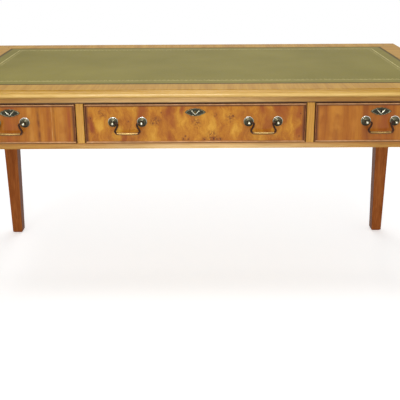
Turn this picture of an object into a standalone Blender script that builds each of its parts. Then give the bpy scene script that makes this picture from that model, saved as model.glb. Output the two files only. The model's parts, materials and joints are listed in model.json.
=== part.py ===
"""Writing table with a leather-lined top, three frieze drawers, drop handles and square tapered legs.

Metres, +Z up. The drawers face -Y, and the origin is on the floor under the middle of the top.
"""

import math

import bmesh
import bpy
import numpy as np

# Driving sizes of the table
TABLE_LENGTH = 1.524
TABLE_DEPTH = 0.762
TABLE_HEIGHT = 0.762

# Clearances
SEAT_GAP = 0.0003  # left between pieces that touch
CUT_EXTRA = 0.004  # how far a cutter runs past the face it opens

# Top board, leather and moulded edge
BOARD_THICKNESS = 0.018
LEATHER_MARGIN = 0.080  # bare wood round the leather, moulded edge included
LEATHER_THICKNESS = 0.002
EDGE_WIDTH = 0.012
EDGE_HEIGHT = 0.021
EDGE_STEP = 0.0015  # how far the moulding starts below the board's top
EDGE_NOSE_DROP = 0.015  # depth at which the moulding stands out furthest
EDGE_UNDER_WIDTH = 0.004
EDGE_UNDER_HEIGHT = 0.0045

# Legs
LEG_TOP = 0.056
LEG_FOOT = 0.038
FOOT_CHAMFER = 0.005

# Frieze, measured down from the table's top
OPENING_DROP = 0.038
OPENING_HEIGHT = 0.115
BOTTOM_RAIL_HEIGHT = 0.016
RAIL_DEPTH = 0.045
MIDDLE_OPENING = 0.616
DIVIDER_WIDTH = 0.021
APRON_THICKNESS = 0.020
APRON_SETBACK = 0.002
GUIDE_LIP = 0.014

# Tenons
TENON_LENGTH = 0.022
TENON_ROOT = 0.006  # how far a tenon's block starts inside its own rail
APRON_TENON_THICKNESS = 0.010
APRON_TENON_SHOULDER = 0.020
RAIL_TENON_DEPTH = 0.026
RAIL_TENON_SHOULDER = 0.004
STUB_LENGTH = 0.006
STUB_WIDTH = 0.012

# Drawers
DRAWER_LENGTH = 0.450
DRAWER_SIDE_GAP = 0.002
DRAWER_TOP_GAP = 0.0025
DRAWER_BOTTOM_GAP = 0.0015
FACE_SETBACK = 0.0005
FRONT_THICKNESS = 0.020
SIDE_THICKNESS = 0.011
SIDE_TOP_DROP = 0.001
BACK_THICKNESS = 0.010
BACK_TOP_DROP = 0.006
PANEL_THICKNESS = 0.005
GROOVE_DEPTH = 0.005
GROOVE_HEIGHT = 0.0115
TAIL_LENGTH = 0.008
TAIL_COUNT = 3
TAIL_NECK_SHARE = 0.50
TAIL_TIP_SHARE = 0.64

# Cock bead round each drawer front
BEAD_WIDTH = 0.004
BEAD_DEPTH = 0.007
BEAD_PROUD = 0.0025

# Locks and escutcheons
LOCK_WIDTH = 0.055
LOCK_HEIGHT = 0.036
LOCK_DEPTH = 0.0095
BOLT_WIDTH = 0.020
BOLT_THICKNESS = 0.005
BOLT_LENGTH = 0.018
BOLT_TRAVEL = 0.007
BOLT_CHAMFER = 0.001
BOLT_MORTISE_MARGIN = 0.003
KEYHOLE_DROP = 0.0262  # keyhole's middle below the opening's top
KEYHOLE_RADIUS = 0.0024
KEYHOLE_SLOT_WIDTH = 0.0022
KEYHOLE_SLOT_LENGTH = 0.0065
KEYHOLE_LOCK_DEPTH = 0.006
PLATE_LENGTH = 0.058
PLATE_HEIGHT = 0.023
PLATE_THICKNESS = 0.0018
PLATE_EDGE = 0.0007
PLATE_RIM_SHARE = 0.90
PLATE_BASE_SHARE = 0.88
PLATE_LOBES = 2.5
PLATE_SHOULDER_POWER = 0.85

# Handles
HANDLE_DROP = 0.0534  # pin line below the opening's top
MIDDLE_HANDLE_OFFSET = 0.1875
POST_SPACING = 0.080
ROSE_RADIUS = 0.0142
ROSE_RIM = 0.0014
ROSE_STEP_RADIUS = 0.0105
ROSE_DOME_HEIGHT = 0.0046
NECK_RADIUS = 0.0036
PIN_REACH = 0.0135  # drawer face to pin line
BALL_RADIUS = 0.0068
SHANK_RADIUS = 0.0024
NUT_RADIUS = 0.006
NUT_THICKNESS = 0.0035
NUT_TOP_SHARE = 0.64
PIN_RADIUS = 0.0017
PIN_DEPTH = 0.0045
BORE_EXTRA = 0.0006
BAIL_TOP_HALF = 0.0310
BAIL_CURL_HALF = 0.0232
BAIL_SWAY_HALF = 0.0268
BAIL_SWAY_DROP = 0.0096
BAIL_BULGE_HALF = 0.0332
BAIL_BULGE_DROP = 0.0200
BAIL_BULGE_SHARE = 0.33
BAIL_CORNER_HALF = 0.0320
BAIL_BEND_HALF = 0.0270
BAIL_DROP = 0.0300
BAIL_BOW = 0.0006
BAIL_NECK_RADIUS = 0.0023
BAIL_BAR_RADIUS = 0.0034

# Edges sharper than this stay crisp in smooth shading, in degrees
SHARP_DEGREES = 35.0
BAIL_SHARP_DEGREES = 60.0

# Fineness of curves, in points
EDGE_STEPS = 6
BEAD_STEPS = 4
ROUND_STEPS = 20
BALL_STEPS = 7
SWEEP_STEPS = 12
BEND_STEPS = 8
BAR_STEPS = 4
PLATE_STEPS = 20

# Places that follow from the sizes
HALF_LENGTH = TABLE_LENGTH / 2
HALF_DEPTH = TABLE_DEPTH / 2
CARCASS_X = HALF_LENGTH - EDGE_WIDTH
CARCASS_Y = HALF_DEPTH - EDGE_WIDTH
FRAME_TOP = TABLE_HEIGHT - BOARD_THICKNESS - SEAT_GAP
OPENING_TOP = TABLE_HEIGHT - OPENING_DROP
OPENING_BOTTOM = OPENING_TOP - OPENING_HEIGHT
FRIEZE_BOTTOM = OPENING_BOTTOM - BOTTOM_RAIL_HEIGHT
LEG_INNER_X = CARCASS_X - LEG_TOP
LEG_INNER_Y = CARCASS_Y - LEG_TOP
RAIL_BACK_Y = -CARCASS_Y + RAIL_DEPTH
APRON_OUTER_X = CARCASS_X - APRON_SETBACK
APRON_INNER_X = APRON_OUTER_X - APRON_THICKNESS
APRON_OUTER_Y = CARCASS_Y - APRON_SETBACK
APRON_INNER_Y = APRON_OUTER_Y - APRON_THICKNESS
DIVIDER_INNER_X = MIDDLE_OPENING / 2
DIVIDER_OUTER_X = DIVIDER_INNER_X + DIVIDER_WIDTH
SIDE_OPENING = LEG_INNER_X - DIVIDER_OUTER_X
SIDE_CENTRE_X = (LEG_INNER_X + DIVIDER_OUTER_X) / 2
FRONT_TOP = OPENING_HEIGHT - DRAWER_TOP_GAP
KEYHOLE_Z = OPENING_HEIGHT - KEYHOLE_DROP
PIN_Z = OPENING_HEIGHT - HANDLE_DROP
DRAWER_Y = -CARCASS_Y + FACE_SETBACK

# Materials: colour in linear light, roughness, metallic
FINISHES = {
    "yew_light": ((0.52, 0.27, 0.075), 0.30, 0.0),
    "yew_burr": ((0.40, 0.15, 0.035), 0.28, 0.0),
    "yew_leg": ((0.26, 0.085, 0.025), 0.35, 0.0),
    "bead_dark": ((0.17, 0.065, 0.025), 0.35, 0.0),
    "drawer_lining": ((0.50, 0.33, 0.17), 0.60, 0.0),
    "green_leather": ((0.28, 0.24, 0.09), 0.50, 0.0),
    "antique_brass": ((0.30, 0.22, 0.10), 0.35, 1.0),
    "lock_brass": ((0.55, 0.40, 0.16), 0.35, 1.0),
}


def clear_scene():
    for thing in list(bpy.data.objects):
        bpy.data.objects.remove(thing, do_unlink=True)


def finish(name):
    """The material of that name, made the first time it is asked for."""
    if name in bpy.data.materials:
        return bpy.data.materials[name]
    colour, roughness, metallic = FINISHES[name]
    made = bpy.data.materials.new(name)
    made.use_nodes = True
    shader = made.node_tree.nodes["Principled BSDF"]
    shader.inputs["Base Color"].default_value = (*colour, 1.0)
    shader.inputs["Roughness"].default_value = roughness
    shader.inputs["Metallic"].default_value = metallic
    made.diffuse_color = (*colour, 1.0)
    return made


def solid(name, points, faces, material):
    """One closed mesh object with its faces turned outwards."""
    mesh = bpy.data.meshes.new(name)
    mesh.from_pydata([tuple(map(float, point)) for point in points], [], faces)
    work = bmesh.new()
    work.from_mesh(mesh)
    bmesh.ops.recalc_face_normals(work, faces=work.faces)
    work.to_mesh(mesh)
    work.free()
    mesh.materials.append(finish(material))
    made = bpy.data.objects.new(name, mesh)
    bpy.context.scene.collection.objects.link(made)
    return made


def loft(name, rings, material):
    """A solid through rings that have the same number of points, capped at both ends."""
    count = len(rings[0])
    points = [point for ring in rings for point in ring]
    faces = [tuple(range(count)), tuple(range(len(points) - count, len(points)))]
    for level in range(len(rings) - 1):
        low, high = level * count, (level + 1) * count
        for i in range(count):
            j = (i + 1) % count
            faces.append((low + i, low + j, high + j, high + i))
    return solid(name, points, faces, material)


def rectangle(x_low, x_high, y_low, y_high, z):
    return [(x_low, y_low, z), (x_high, y_low, z), (x_high, y_high, z), (x_low, y_high, z)]


def box(name, low, high, material):
    rings = [rectangle(low[0], high[0], low[1], high[1], z) for z in (low[2], high[2])]
    return loft(name, rings, material)


def prism(name, outline, low, high, push, material):
    """An outline pushed from low to high along X or Y. Its points are (Y, Z) for X and (X, Z) for Y."""
    axes = {"X": (1, 2, 0), "Y": (0, 2, 1)}[push]
    rings = []
    for level in (low, high):
        ring = np.zeros((len(outline), 3))
        ring[:, axes[0]] = [point[0] for point in outline]
        ring[:, axes[1]] = [point[1] for point in outline]
        ring[:, axes[2]] = level
        rings.append(ring)
    return loft(name, rings, material)


def circle(radius, count, centre=(0.0, 0.0)):
    turns = [math.tau * i / count for i in range(count)]
    return [(centre[0] + radius * math.cos(a), centre[1] + radius * math.sin(a)) for a in turns]


def combine(body, others, operation):
    """Applies one exact Boolean for each helper solid, then removes the helpers."""
    for other in others:
        step = body.modifiers.new(other.name, "BOOLEAN")
        step.operation = operation
        step.solver = "EXACT"
        step.object = other
    bpy.context.view_layer.update()
    graph = bpy.context.evaluated_depsgraph_get()
    result = bpy.data.meshes.new_from_object(body.evaluated_get(graph))
    body.modifiers.clear()
    body.data = result
    result.name = body.name
    for other in others:
        bpy.data.objects.remove(other, do_unlink=True)
    return body


def carve(body, cutters):
    return combine(body, cutters, "DIFFERENCE")


def join(body, pieces):
    return combine(body, pieces, "UNION")


def shade_round(body, sharp_degrees=SHARP_DEGREES):
    """Smooth shading that keeps the true corners."""
    body.data.polygons.foreach_set("use_smooth", [True] * len(body.data.polygons))
    body.data.set_sharp_from_angle(angle=math.radians(sharp_degrees))
    return body


def another(name, body):
    """A second object on the same mesh."""
    made = bpy.data.objects.new(name, body.data)
    bpy.context.scene.collection.objects.link(made)
    return made


def empty(name, place, parent=None):
    made = bpy.data.objects.new(name, None)
    made.location = place
    made.parent = parent
    bpy.context.scene.collection.objects.link(made)
    return made


# Top board with the recess that takes the leather
def top_board():
    low = (-CARCASS_X, -CARCASS_Y, TABLE_HEIGHT - BOARD_THICKNESS)
    board = box("top_board", low, (CARCASS_X, CARCASS_Y, TABLE_HEIGHT), "yew_light")
    half_x, half_y = HALF_LENGTH - LEATHER_MARGIN, HALF_DEPTH - LEATHER_MARGIN
    low = (-half_x, -half_y, TABLE_HEIGHT - LEATHER_THICKNESS - SEAT_GAP)
    carve(board, [box("recess", low, (half_x, half_y, TABLE_HEIGHT + CUT_EXTRA), "yew_light")])
    half_x, half_y = half_x - SEAT_GAP, half_y - SEAT_GAP
    low = (-half_x, -half_y, TABLE_HEIGHT - LEATHER_THICKNESS)
    box("leather_inset", low, (half_x, half_y, TABLE_HEIGHT), "green_leather")


def edge_profile():
    """Thumb moulding as (distance out from the board's edge, height below the top)."""
    width = EDGE_WIDTH - SEAT_GAP
    points = [(SEAT_GAP, EDGE_HEIGHT)]
    under = EDGE_WIDTH - EDGE_UNDER_WIDTH
    points.append((under, EDGE_HEIGHT))
    for i in range(EDGE_STEPS // 2 + 1):
        angle = math.pi / 2 * i / (EDGE_STEPS // 2)
        out = under + EDGE_UNDER_WIDTH * math.sin(angle)
        points.append((out, EDGE_NOSE_DROP + EDGE_UNDER_HEIGHT * math.cos(angle)))
    for i in range(1, EDGE_STEPS + 1):
        angle = math.pi / 2 * i / EDGE_STEPS
        rise = (EDGE_NOSE_DROP - EDGE_STEP) * math.sin(angle)
        points.append((SEAT_GAP + width * math.cos(angle), EDGE_NOSE_DROP - rise))
    return points


# Four mitred lengths of moulding round the board
def moulded_edges():
    sides = {
        "edge_front": (CARCASS_X, CARCASS_Y, lambda along, out: (along, -out)),
        "edge_back": (CARCASS_X, CARCASS_Y, lambda along, out: (along, out)),
        "edge_left": (CARCASS_Y, CARCASS_X, lambda along, out: (-out, along)),
        "edge_right": (CARCASS_Y, CARCASS_X, lambda along, out: (out, along)),
    }
    for name, (half_run, start, place) in sides.items():
        rings = []
        for end in (-1, 1):
            ring = []
            for out, drop in edge_profile():
                along = end * (half_run + out - SEAT_GAP)
                ring.append((*place(along, start + out), TABLE_HEIGHT - drop))
            rings.append(ring)
        shade_round(loft(name, rings, "yew_light"))


def apron_mortise(name, x_side, y_side, runs_along_x):
    """Cutter for the hole in a leg that takes an apron's tenon."""
    reach = LEG_TOP - TENON_LENGTH - SEAT_GAP
    shoulder = (APRON_THICKNESS - APRON_TENON_THICKNESS) / 2
    near = APRON_SETBACK + shoulder - SEAT_GAP
    far = near + APRON_TENON_THICKNESS + 2 * SEAT_GAP
    deep = (reach, LEG_TOP + CUT_EXTRA)
    across = (near, far)
    from_x, from_y = (deep, across) if runs_along_x else (across, deep)
    x = sorted(x_side * (CARCASS_X - depth) for depth in from_x)
    y = sorted(y_side * (CARCASS_Y - depth) for depth in from_y)
    z_low = FRIEZE_BOTTOM + APRON_TENON_SHOULDER - SEAT_GAP
    z_high = FRAME_TOP - APRON_TENON_SHOULDER + SEAT_GAP
    return box(name, (x[0], y[0], z_low), (x[1], y[1], z_high), "yew_leg")


def rail_tenon(name, x_side, z_low, z_high, gap):
    """The tenon at one end of a front rail, or with a gap the hole for it."""
    start = LEG_INNER_X - TENON_ROOT
    x = sorted((x_side * start, x_side * (LEG_INNER_X + TENON_LENGTH + gap)))
    middle = -CARCASS_Y + RAIL_DEPTH / 2
    low = (x[0], middle - RAIL_TENON_DEPTH / 2 - gap, z_low + RAIL_TENON_SHOULDER - gap)
    high = (x[1], middle + RAIL_TENON_DEPTH / 2 + gap, z_high - RAIL_TENON_SHOULDER + gap)
    return box(name, low, high, "yew_light")


# Square legs, tapered on their two inner faces below the frieze
def leg(name, x_side, y_side):
    def level(z, size, inset):
        x = (x_side * (CARCASS_X - inset), x_side * (CARCASS_X - size + inset))
        y = (y_side * (CARCASS_Y - inset), y_side * (CARCASS_Y - size + inset))
        return rectangle(x[0], x[1], y[0], y[1], z)

    chamfer_share = FOOT_CHAMFER / FRIEZE_BOTTOM
    chamfer_size = LEG_FOOT + (LEG_TOP - LEG_FOOT) * chamfer_share
    rings = [
        level(0.0, LEG_FOOT, FOOT_CHAMFER),
        level(FOOT_CHAMFER, chamfer_size, 0.0),
        level(FRIEZE_BOTTOM, LEG_TOP, 0.0),
        level(FRAME_TOP, LEG_TOP, 0.0),
    ]
    made = loft(name, rings, "yew_leg")
    cutters = [apron_mortise("side_mortise", x_side, y_side, False)]
    if y_side > 0:
        cutters.append(apron_mortise("back_mortise", x_side, y_side, True))
    else:
        cutters.append(rail_tenon("upper_mortise", x_side, OPENING_TOP, FRAME_TOP, SEAT_GAP))
        cutters.append(rail_tenon("lower_mortise", x_side, FRIEZE_BOTTOM, OPENING_BOTTOM, SEAT_GAP))
    return carve(made, cutters)


def legs():
    for x_side, x_word in ((-1, "left"), (1, "right")):
        for y_side, y_word in ((-1, "front"), (1, "back")):
            leg(f"leg_{y_word}_{x_word}", x_side, y_side)


# Front rails above and below the drawers
def front_rails():
    for name, z_low, z_high in (
        ("front_rail_top", OPENING_TOP, FRAME_TOP),
        ("front_rail_bottom", FRIEZE_BOTTOM, OPENING_BOTTOM),
    ):
        end = LEG_INNER_X - SEAT_GAP
        lower = name == "front_rail_bottom"
        rail = box(name, (-end, -CARCASS_Y, z_low), (end, RAIL_BACK_Y, z_high), "yew_light")
        join(rail, [rail_tenon(f"tenon_{side}", side, z_low, z_high, 0.0) for side in (-1, 1)])
        cutters = [divider_stub(f"stub_{side}", side, lower, SEAT_GAP) for side in (-1, 1)]
        if not lower:
            cutters += [bolt_mortise(x) for x in (-SIDE_CENTRE_X, 0.0, SIDE_CENTRE_X)]
        carve(rail, cutters)


def bolt_mortise(centre_x):
    """Cutter for the hole that a lock's bolt rises into."""
    middle = lock_middle_y() + DRAWER_Y
    half_x = BOLT_WIDTH / 2 + BOLT_MORTISE_MARGIN
    half_y = BOLT_THICKNESS / 2 + BOLT_MORTISE_MARGIN
    top = OPENING_TOP + BOLT_TRAVEL
    low = (centre_x - half_x, middle - half_y, OPENING_TOP - CUT_EXTRA)
    return box("bolt_mortise", low, (centre_x + half_x, middle + half_y, top), "yew_light")


def divider_stub(name, side, lower, gap):
    """A divider's short tenon into a rail, or with a gap the hole for it."""
    middle_x = side * (DIVIDER_INNER_X + DIVIDER_OUTER_X) / 2
    middle_y = -CARCASS_Y + RAIL_DEPTH / 2
    half_x, half_y = STUB_WIDTH / 2 + gap, RAIL_TENON_DEPTH / 2 + gap
    tip = STUB_LENGTH + gap
    if lower:
        z_low, z_high = OPENING_BOTTOM - tip, OPENING_BOTTOM + TENON_ROOT
    else:
        z_low, z_high = OPENING_TOP - TENON_ROOT, OPENING_TOP + tip
    low = (middle_x - half_x, middle_y - half_y, z_low)
    return box(name, low, (middle_x + half_x, middle_y + half_y, z_high), "yew_light")


# Upright dividers between the drawers
def front_dividers():
    for side, word in ((-1, "left"), (1, "right")):
        x = sorted((side * DIVIDER_INNER_X, side * DIVIDER_OUTER_X))
        low = (x[0], -CARCASS_Y, OPENING_BOTTOM + SEAT_GAP)
        high = (x[1], RAIL_BACK_Y, OPENING_TOP - SEAT_GAP)
        divider = box(f"front_divider_{word}", low, high, "yew_light")
        lower_stub = divider_stub("lower_stub", side, True, 0.0)
        upper_stub = divider_stub("upper_stub", side, False, 0.0)
        join(divider, [lower_stub, upper_stub])


# Aprons at the back and the two ends, tenoned into the legs
def aprons():
    shoulder = (APRON_THICKNESS - APRON_TENON_THICKNESS) / 2
    z_tenon = (FRIEZE_BOTTOM + APRON_TENON_SHOULDER, FRAME_TOP - APRON_TENON_SHOULDER)

    end = LEG_INNER_X - SEAT_GAP
    low, high = (-end, APRON_INNER_Y, FRIEZE_BOTTOM), (end, APRON_OUTER_Y, FRAME_TOP)
    back = box("apron_back", low, high, "yew_leg")
    reach = LEG_INNER_X + TENON_LENGTH
    y_low, y_high = APRON_INNER_Y + shoulder, APRON_OUTER_Y - shoulder
    join(back, [box("tenons", (-reach, y_low, z_tenon[0]), (reach, y_high, z_tenon[1]), "yew_leg")])

    end = LEG_INNER_Y - SEAT_GAP
    reach = LEG_INNER_Y + TENON_LENGTH
    for side, word in ((-1, "left"), (1, "right")):
        x = sorted((side * APRON_INNER_X, side * APRON_OUTER_X))
        apron = box(f"apron_{word}", (x[0], -end, FRIEZE_BOTTOM), (x[1], end, FRAME_TOP), "yew_leg")
        tenon_low = (x[0] + shoulder, -reach, z_tenon[0])
        join(apron, [box("tenons", tenon_low, (x[1] - shoulder, reach, z_tenon[1]), "yew_leg")])


# Runner, guide and kicker beside each end drawer, as one channel-shaped length
def end_guides():
    for side, word in ((-1, "left"), (1, "right")):
        wall, face, lip = APRON_INNER_X - SEAT_GAP, LEG_INNER_X, LEG_INNER_X - GUIDE_LIP
        outline = [
            (wall, FRIEZE_BOTTOM),
            (lip, FRIEZE_BOTTOM),
            (lip, OPENING_BOTTOM),
            (face, OPENING_BOTTOM),
            (face, OPENING_TOP),
            (lip, OPENING_TOP),
            (lip, FRAME_TOP),
            (wall, FRAME_TOP),
        ]
        end = LEG_INNER_Y - SEAT_GAP
        outline = [(side * x, z) for x, z in outline]
        prism(f"drawer_guide_{word}", outline, -end, end, "Y", "drawer_lining")


# Partition between two drawers, with their runners below and kickers above
def partitions():
    for side, word in ((-1, "left"), (1, "right")):
        inner, outer = DIVIDER_INNER_X, DIVIDER_OUTER_X
        inner_lip, outer_lip = inner - GUIDE_LIP, outer + GUIDE_LIP
        outline = [
            (inner_lip, FRIEZE_BOTTOM),
            (outer_lip, FRIEZE_BOTTOM),
            (outer_lip, OPENING_BOTTOM),
            (outer, OPENING_BOTTOM),
            (outer, OPENING_TOP),
            (outer_lip, OPENING_TOP),
            (outer_lip, FRAME_TOP),
            (inner_lip, FRAME_TOP),
            (inner_lip, OPENING_TOP),
            (inner, OPENING_TOP),
            (inner, OPENING_BOTTOM),
            (inner_lip, OPENING_BOTTOM),
        ]
        outline = [(side * x, z) for x, z in outline]
        front, back = RAIL_BACK_Y + SEAT_GAP, APRON_INNER_Y - SEAT_GAP
        prism(f"drawer_partition_{word}", outline, front, back, "Y", "drawer_lining")


def lock_middle_y():
    """Middle of a lock's thickness behind the drawer's face."""
    return FRONT_THICKNESS - LOCK_DEPTH / 2


def keyhole(name, y_low, y_high):
    """Round hole with a slot below it, as one cutter outline."""
    half = KEYHOLE_SLOT_WIDTH / 2
    start = math.asin(half / KEYHOLE_RADIUS) - math.pi / 2
    count = ROUND_STEPS // 2
    turn = math.tau - 2 * math.asin(half / KEYHOLE_RADIUS)
    outline = []
    for i in range(count + 1):
        angle = start + turn * i / count
        x, z = KEYHOLE_RADIUS * math.cos(angle), KEYHOLE_RADIUS * math.sin(angle)
        outline.append((x, KEYHOLE_Z + z))
    outline.append((-half, KEYHOLE_Z - KEYHOLE_SLOT_LENGTH))
    outline.append((half, KEYHOLE_Z - KEYHOLE_SLOT_LENGTH))
    return prism(name, outline, y_low, y_high, "Y", "lock_brass")


def tail_outlines(height, gap):
    """Dovetails at the front of a drawer side, as outlines in (Y, Z)."""
    pitch = height / TAIL_COUNT
    shoulder = FRONT_THICKNESS + SEAT_GAP
    tip = FRONT_THICKNESS - TAIL_LENGTH - gap
    found = []
    for i in range(TAIL_COUNT):
        middle = SEAT_GAP + pitch * (i + 0.5)
        neck = pitch * TAIL_NECK_SHARE / 2 + gap
        wide = pitch * TAIL_TIP_SHARE / 2 + gap
        lower = [(shoulder, middle - neck), (tip, middle - wide)]
        upper = [(tip, middle + wide), (shoulder, middle + neck)]
        found.append(lower + upper)
    return found


def side_height():
    return FRONT_TOP - SIDE_TOP_DROP - SEAT_GAP


# Drawer front: a raised field inside the bead, on a full-width board
def drawer_front(name, width, handles):
    half = width / 2 - DRAWER_SIDE_GAP
    z_low, z_high = DRAWER_BOTTOM_GAP, FRONT_TOP
    inset = BEAD_WIDTH + SEAT_GAP
    step = BEAD_DEPTH + SEAT_GAP

    def level(y, back):
        return [(-half + back, y, z_low + back), (half - back, y, z_low + back),
                (half - back, y, z_high - back), (-half + back, y, z_high - back)]

    rings = [level(0.0, inset), level(step, inset), level(step, 0.0), level(FRONT_THICKNESS, 0.0)]
    front = loft(name, rings, "yew_burr")

    half_lock = LOCK_WIDTH / 2 + SEAT_GAP
    recess_low = (-half_lock, FRONT_THICKNESS - LOCK_DEPTH - SEAT_GAP, z_high - LOCK_HEIGHT - SEAT_GAP)
    recess_high = (half_lock, FRONT_THICKNESS + CUT_EXTRA, z_high + CUT_EXTRA)
    cutters = [box("lock_recess", recess_low, recess_high, "yew_burr")]
    cutters.append(keyhole("keyhole", -CUT_EXTRA, FRONT_THICKNESS))
    for x in handles:
        for side in (-1, 1):
            centre = (x + side * POST_SPACING / 2, PIN_Z)
            outline = circle(SHANK_RADIUS + SEAT_GAP, SWEEP_STEPS, centre)
            through = FRONT_THICKNESS + CUT_EXTRA
            cutters.append(prism("shank_hole", outline, -CUT_EXTRA, through, "Y", "yew_burr"))
    groove_half = half - SIDE_THICKNESS + GROOVE_DEPTH
    groove_low = (-groove_half, FRONT_THICKNESS - GROOVE_DEPTH, GROOVE_HEIGHT)
    groove_high = (groove_half, FRONT_THICKNESS + CUT_EXTRA, GROOVE_HEIGHT + PANEL_THICKNESS + 2 * SEAT_GAP)
    cutters.append(box("groove", groove_low, groove_high, "yew_burr"))
    for side in (-1, 1):
        x = sorted((side * (half + CUT_EXTRA), side * (half - SIDE_THICKNESS - SEAT_GAP)))
        for outline in tail_outlines(side_height(), SEAT_GAP):
            cutters.append(prism("socket", outline, x[0], x[1], "X", "yew_burr"))
    return carve(front, cutters)


# Cock bead, a rounded strip let in round the drawer front
def cock_bead(name, width):
    half = width / 2 - DRAWER_SIDE_GAP
    corners = (
        (-half, DRAWER_BOTTOM_GAP, 1, 1),
        (half, DRAWER_BOTTOM_GAP, -1, 1),
        (half, FRONT_TOP, -1, -1),
        (-half, FRONT_TOP, 1, -1),
    )
    profile = [(0.0, BEAD_DEPTH), (BEAD_WIDTH, BEAD_DEPTH)]
    radius = BEAD_WIDTH / 2
    for i in range(BEAD_STEPS + 1):
        angle = math.pi * i / BEAD_STEPS
        inward = radius + radius * math.cos(angle)
        profile.append((inward, radius - BEAD_PROUD - radius * math.sin(angle)))
    points = []
    for x, z, sx, sz in corners:
        points += [(x + inward * sx, y, z + inward * sz) for inward, y in profile]
    count = len(profile)
    faces = []
    for corner in range(len(corners)):
        here, there = corner * count, (corner + 1) % len(corners) * count
        for i in range(count):
            j = (i + 1) % count
            faces.append((here + i, here + j, there + j, there + i))
    return shade_round(solid(name, points, faces, "bead_dark"))


# Drawer side with dovetails in front and a groove for the bottom
def drawer_side(name, width, side):
    half = width / 2 - DRAWER_SIDE_GAP
    height = side_height()
    shoulder = FRONT_THICKNESS + SEAT_GAP
    outline = [(DRAWER_LENGTH, SEAT_GAP + height), (DRAWER_LENGTH, SEAT_GAP), (shoulder, SEAT_GAP)]
    for tail in tail_outlines(height, 0.0):
        outline += tail
    outline.append((shoulder, SEAT_GAP + height))
    x = sorted((side * half, side * (half - SIDE_THICKNESS)))
    made = prism(name, outline, x[0], x[1], "X", "drawer_lining")
    inner = half - SIDE_THICKNESS
    x = sorted((side * (inner - CUT_EXTRA), side * (inner + GROOVE_DEPTH)))
    groove_low = (x[0], FRONT_THICKNESS - TAIL_LENGTH - CUT_EXTRA, GROOVE_HEIGHT)
    groove_high = (x[1], DRAWER_LENGTH + CUT_EXTRA, GROOVE_HEIGHT + PANEL_THICKNESS + 2 * SEAT_GAP)
    return carve(made, [box("groove", groove_low, groove_high, "drawer_lining")])


def drawer_back(name, width):
    half = width / 2 - DRAWER_SIDE_GAP - SIDE_THICKNESS - SEAT_GAP
    low = (-half, DRAWER_LENGTH - BACK_THICKNESS, GROOVE_HEIGHT + PANEL_THICKNESS + 2 * SEAT_GAP)
    high = (half, DRAWER_LENGTH, SEAT_GAP + side_height() - BACK_TOP_DROP)
    return box(name, low, high, "drawer_lining")


def drawer_bottom(name, width):
    half = width / 2 - DRAWER_SIDE_GAP - SIDE_THICKNESS + GROOVE_DEPTH - SEAT_GAP
    under = GROOVE_HEIGHT + SEAT_GAP
    low = (-half, FRONT_THICKNESS - GROOVE_DEPTH + SEAT_GAP, under)
    return box(name, low, (half, DRAWER_LENGTH, under + PANEL_THICKNESS), "drawer_lining")


def plate_outline(share=1.0):
    """Scalloped lozenge, pointed left and right, as (X, Z) round the keyhole."""
    half_length, half_height = share * PLATE_LENGTH / 2, share * PLATE_HEIGHT / 2
    upper = []
    for i in range(-PLATE_STEPS, PLATE_STEPS):
        along = i / PLATE_STEPS
        lobe = abs(math.cos(math.pi * PLATE_LOBES * along))
        body = (1.0 - along * along) ** PLATE_SHOULDER_POWER
        scallop = PLATE_BASE_SHARE + (1.0 - PLATE_BASE_SHARE) * lobe
        upper.append((along * half_length, half_height * body * scallop))
    return upper + [(-x, -z) for x, z in upper]


# Escutcheon, the thin pierced plate round the keyhole
def escutcheon(name):
    back, rim, top = -SEAT_GAP, -SEAT_GAP - PLATE_EDGE, -SEAT_GAP - PLATE_THICKNESS
    rings = []
    for y, share in ((back, 1.0), (rim, 1.0), (top, PLATE_RIM_SHARE)):
        rings.append([(x, y, KEYHOLE_Z + z) for x, z in plate_outline(share)])
    plate = loft(name, rings, "antique_brass")
    return carve(plate, [keyhole("keyhole", top - CUT_EXTRA, back + CUT_EXTRA)])


# Lock let into the back of the drawer front, and the bolt that rises out of it
def lock_case(name):
    half = LOCK_WIDTH / 2
    low = (-half, FRONT_THICKNESS - LOCK_DEPTH, FRONT_TOP - LOCK_HEIGHT)
    case = box(name, low, (half, FRONT_THICKNESS, FRONT_TOP), "lock_brass")
    half_x, half_y = BOLT_WIDTH / 2 + SEAT_GAP, BOLT_THICKNESS / 2 + SEAT_GAP
    floor = FRONT_TOP - BOLT_LENGTH - 2 * SEAT_GAP
    slot_low = (-half_x, lock_middle_y() - half_y, floor)
    slot = box("slot", slot_low, (half_x, lock_middle_y() + half_y, FRONT_TOP + CUT_EXTRA), "lock_brass")
    front = FRONT_THICKNESS - LOCK_DEPTH
    return carve(case, [slot, keyhole("keyhole", front - CUT_EXTRA, front + KEYHOLE_LOCK_DEPTH)])


def lock_bolt(name):
    half_x, half_y, half_z = BOLT_WIDTH / 2, BOLT_THICKNESS / 2, BOLT_LENGTH / 2
    cut = BOLT_CHAMFER
    rings = [
        rectangle(-half_x, half_x, -half_y, half_y, -half_z),
        rectangle(-half_x, half_x, -half_y, half_y, half_z - cut),
        rectangle(-half_x + cut, half_x - cut, -half_y + cut, half_y - cut, half_z),
    ]
    return loft(name, rings, "lock_brass")


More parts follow.
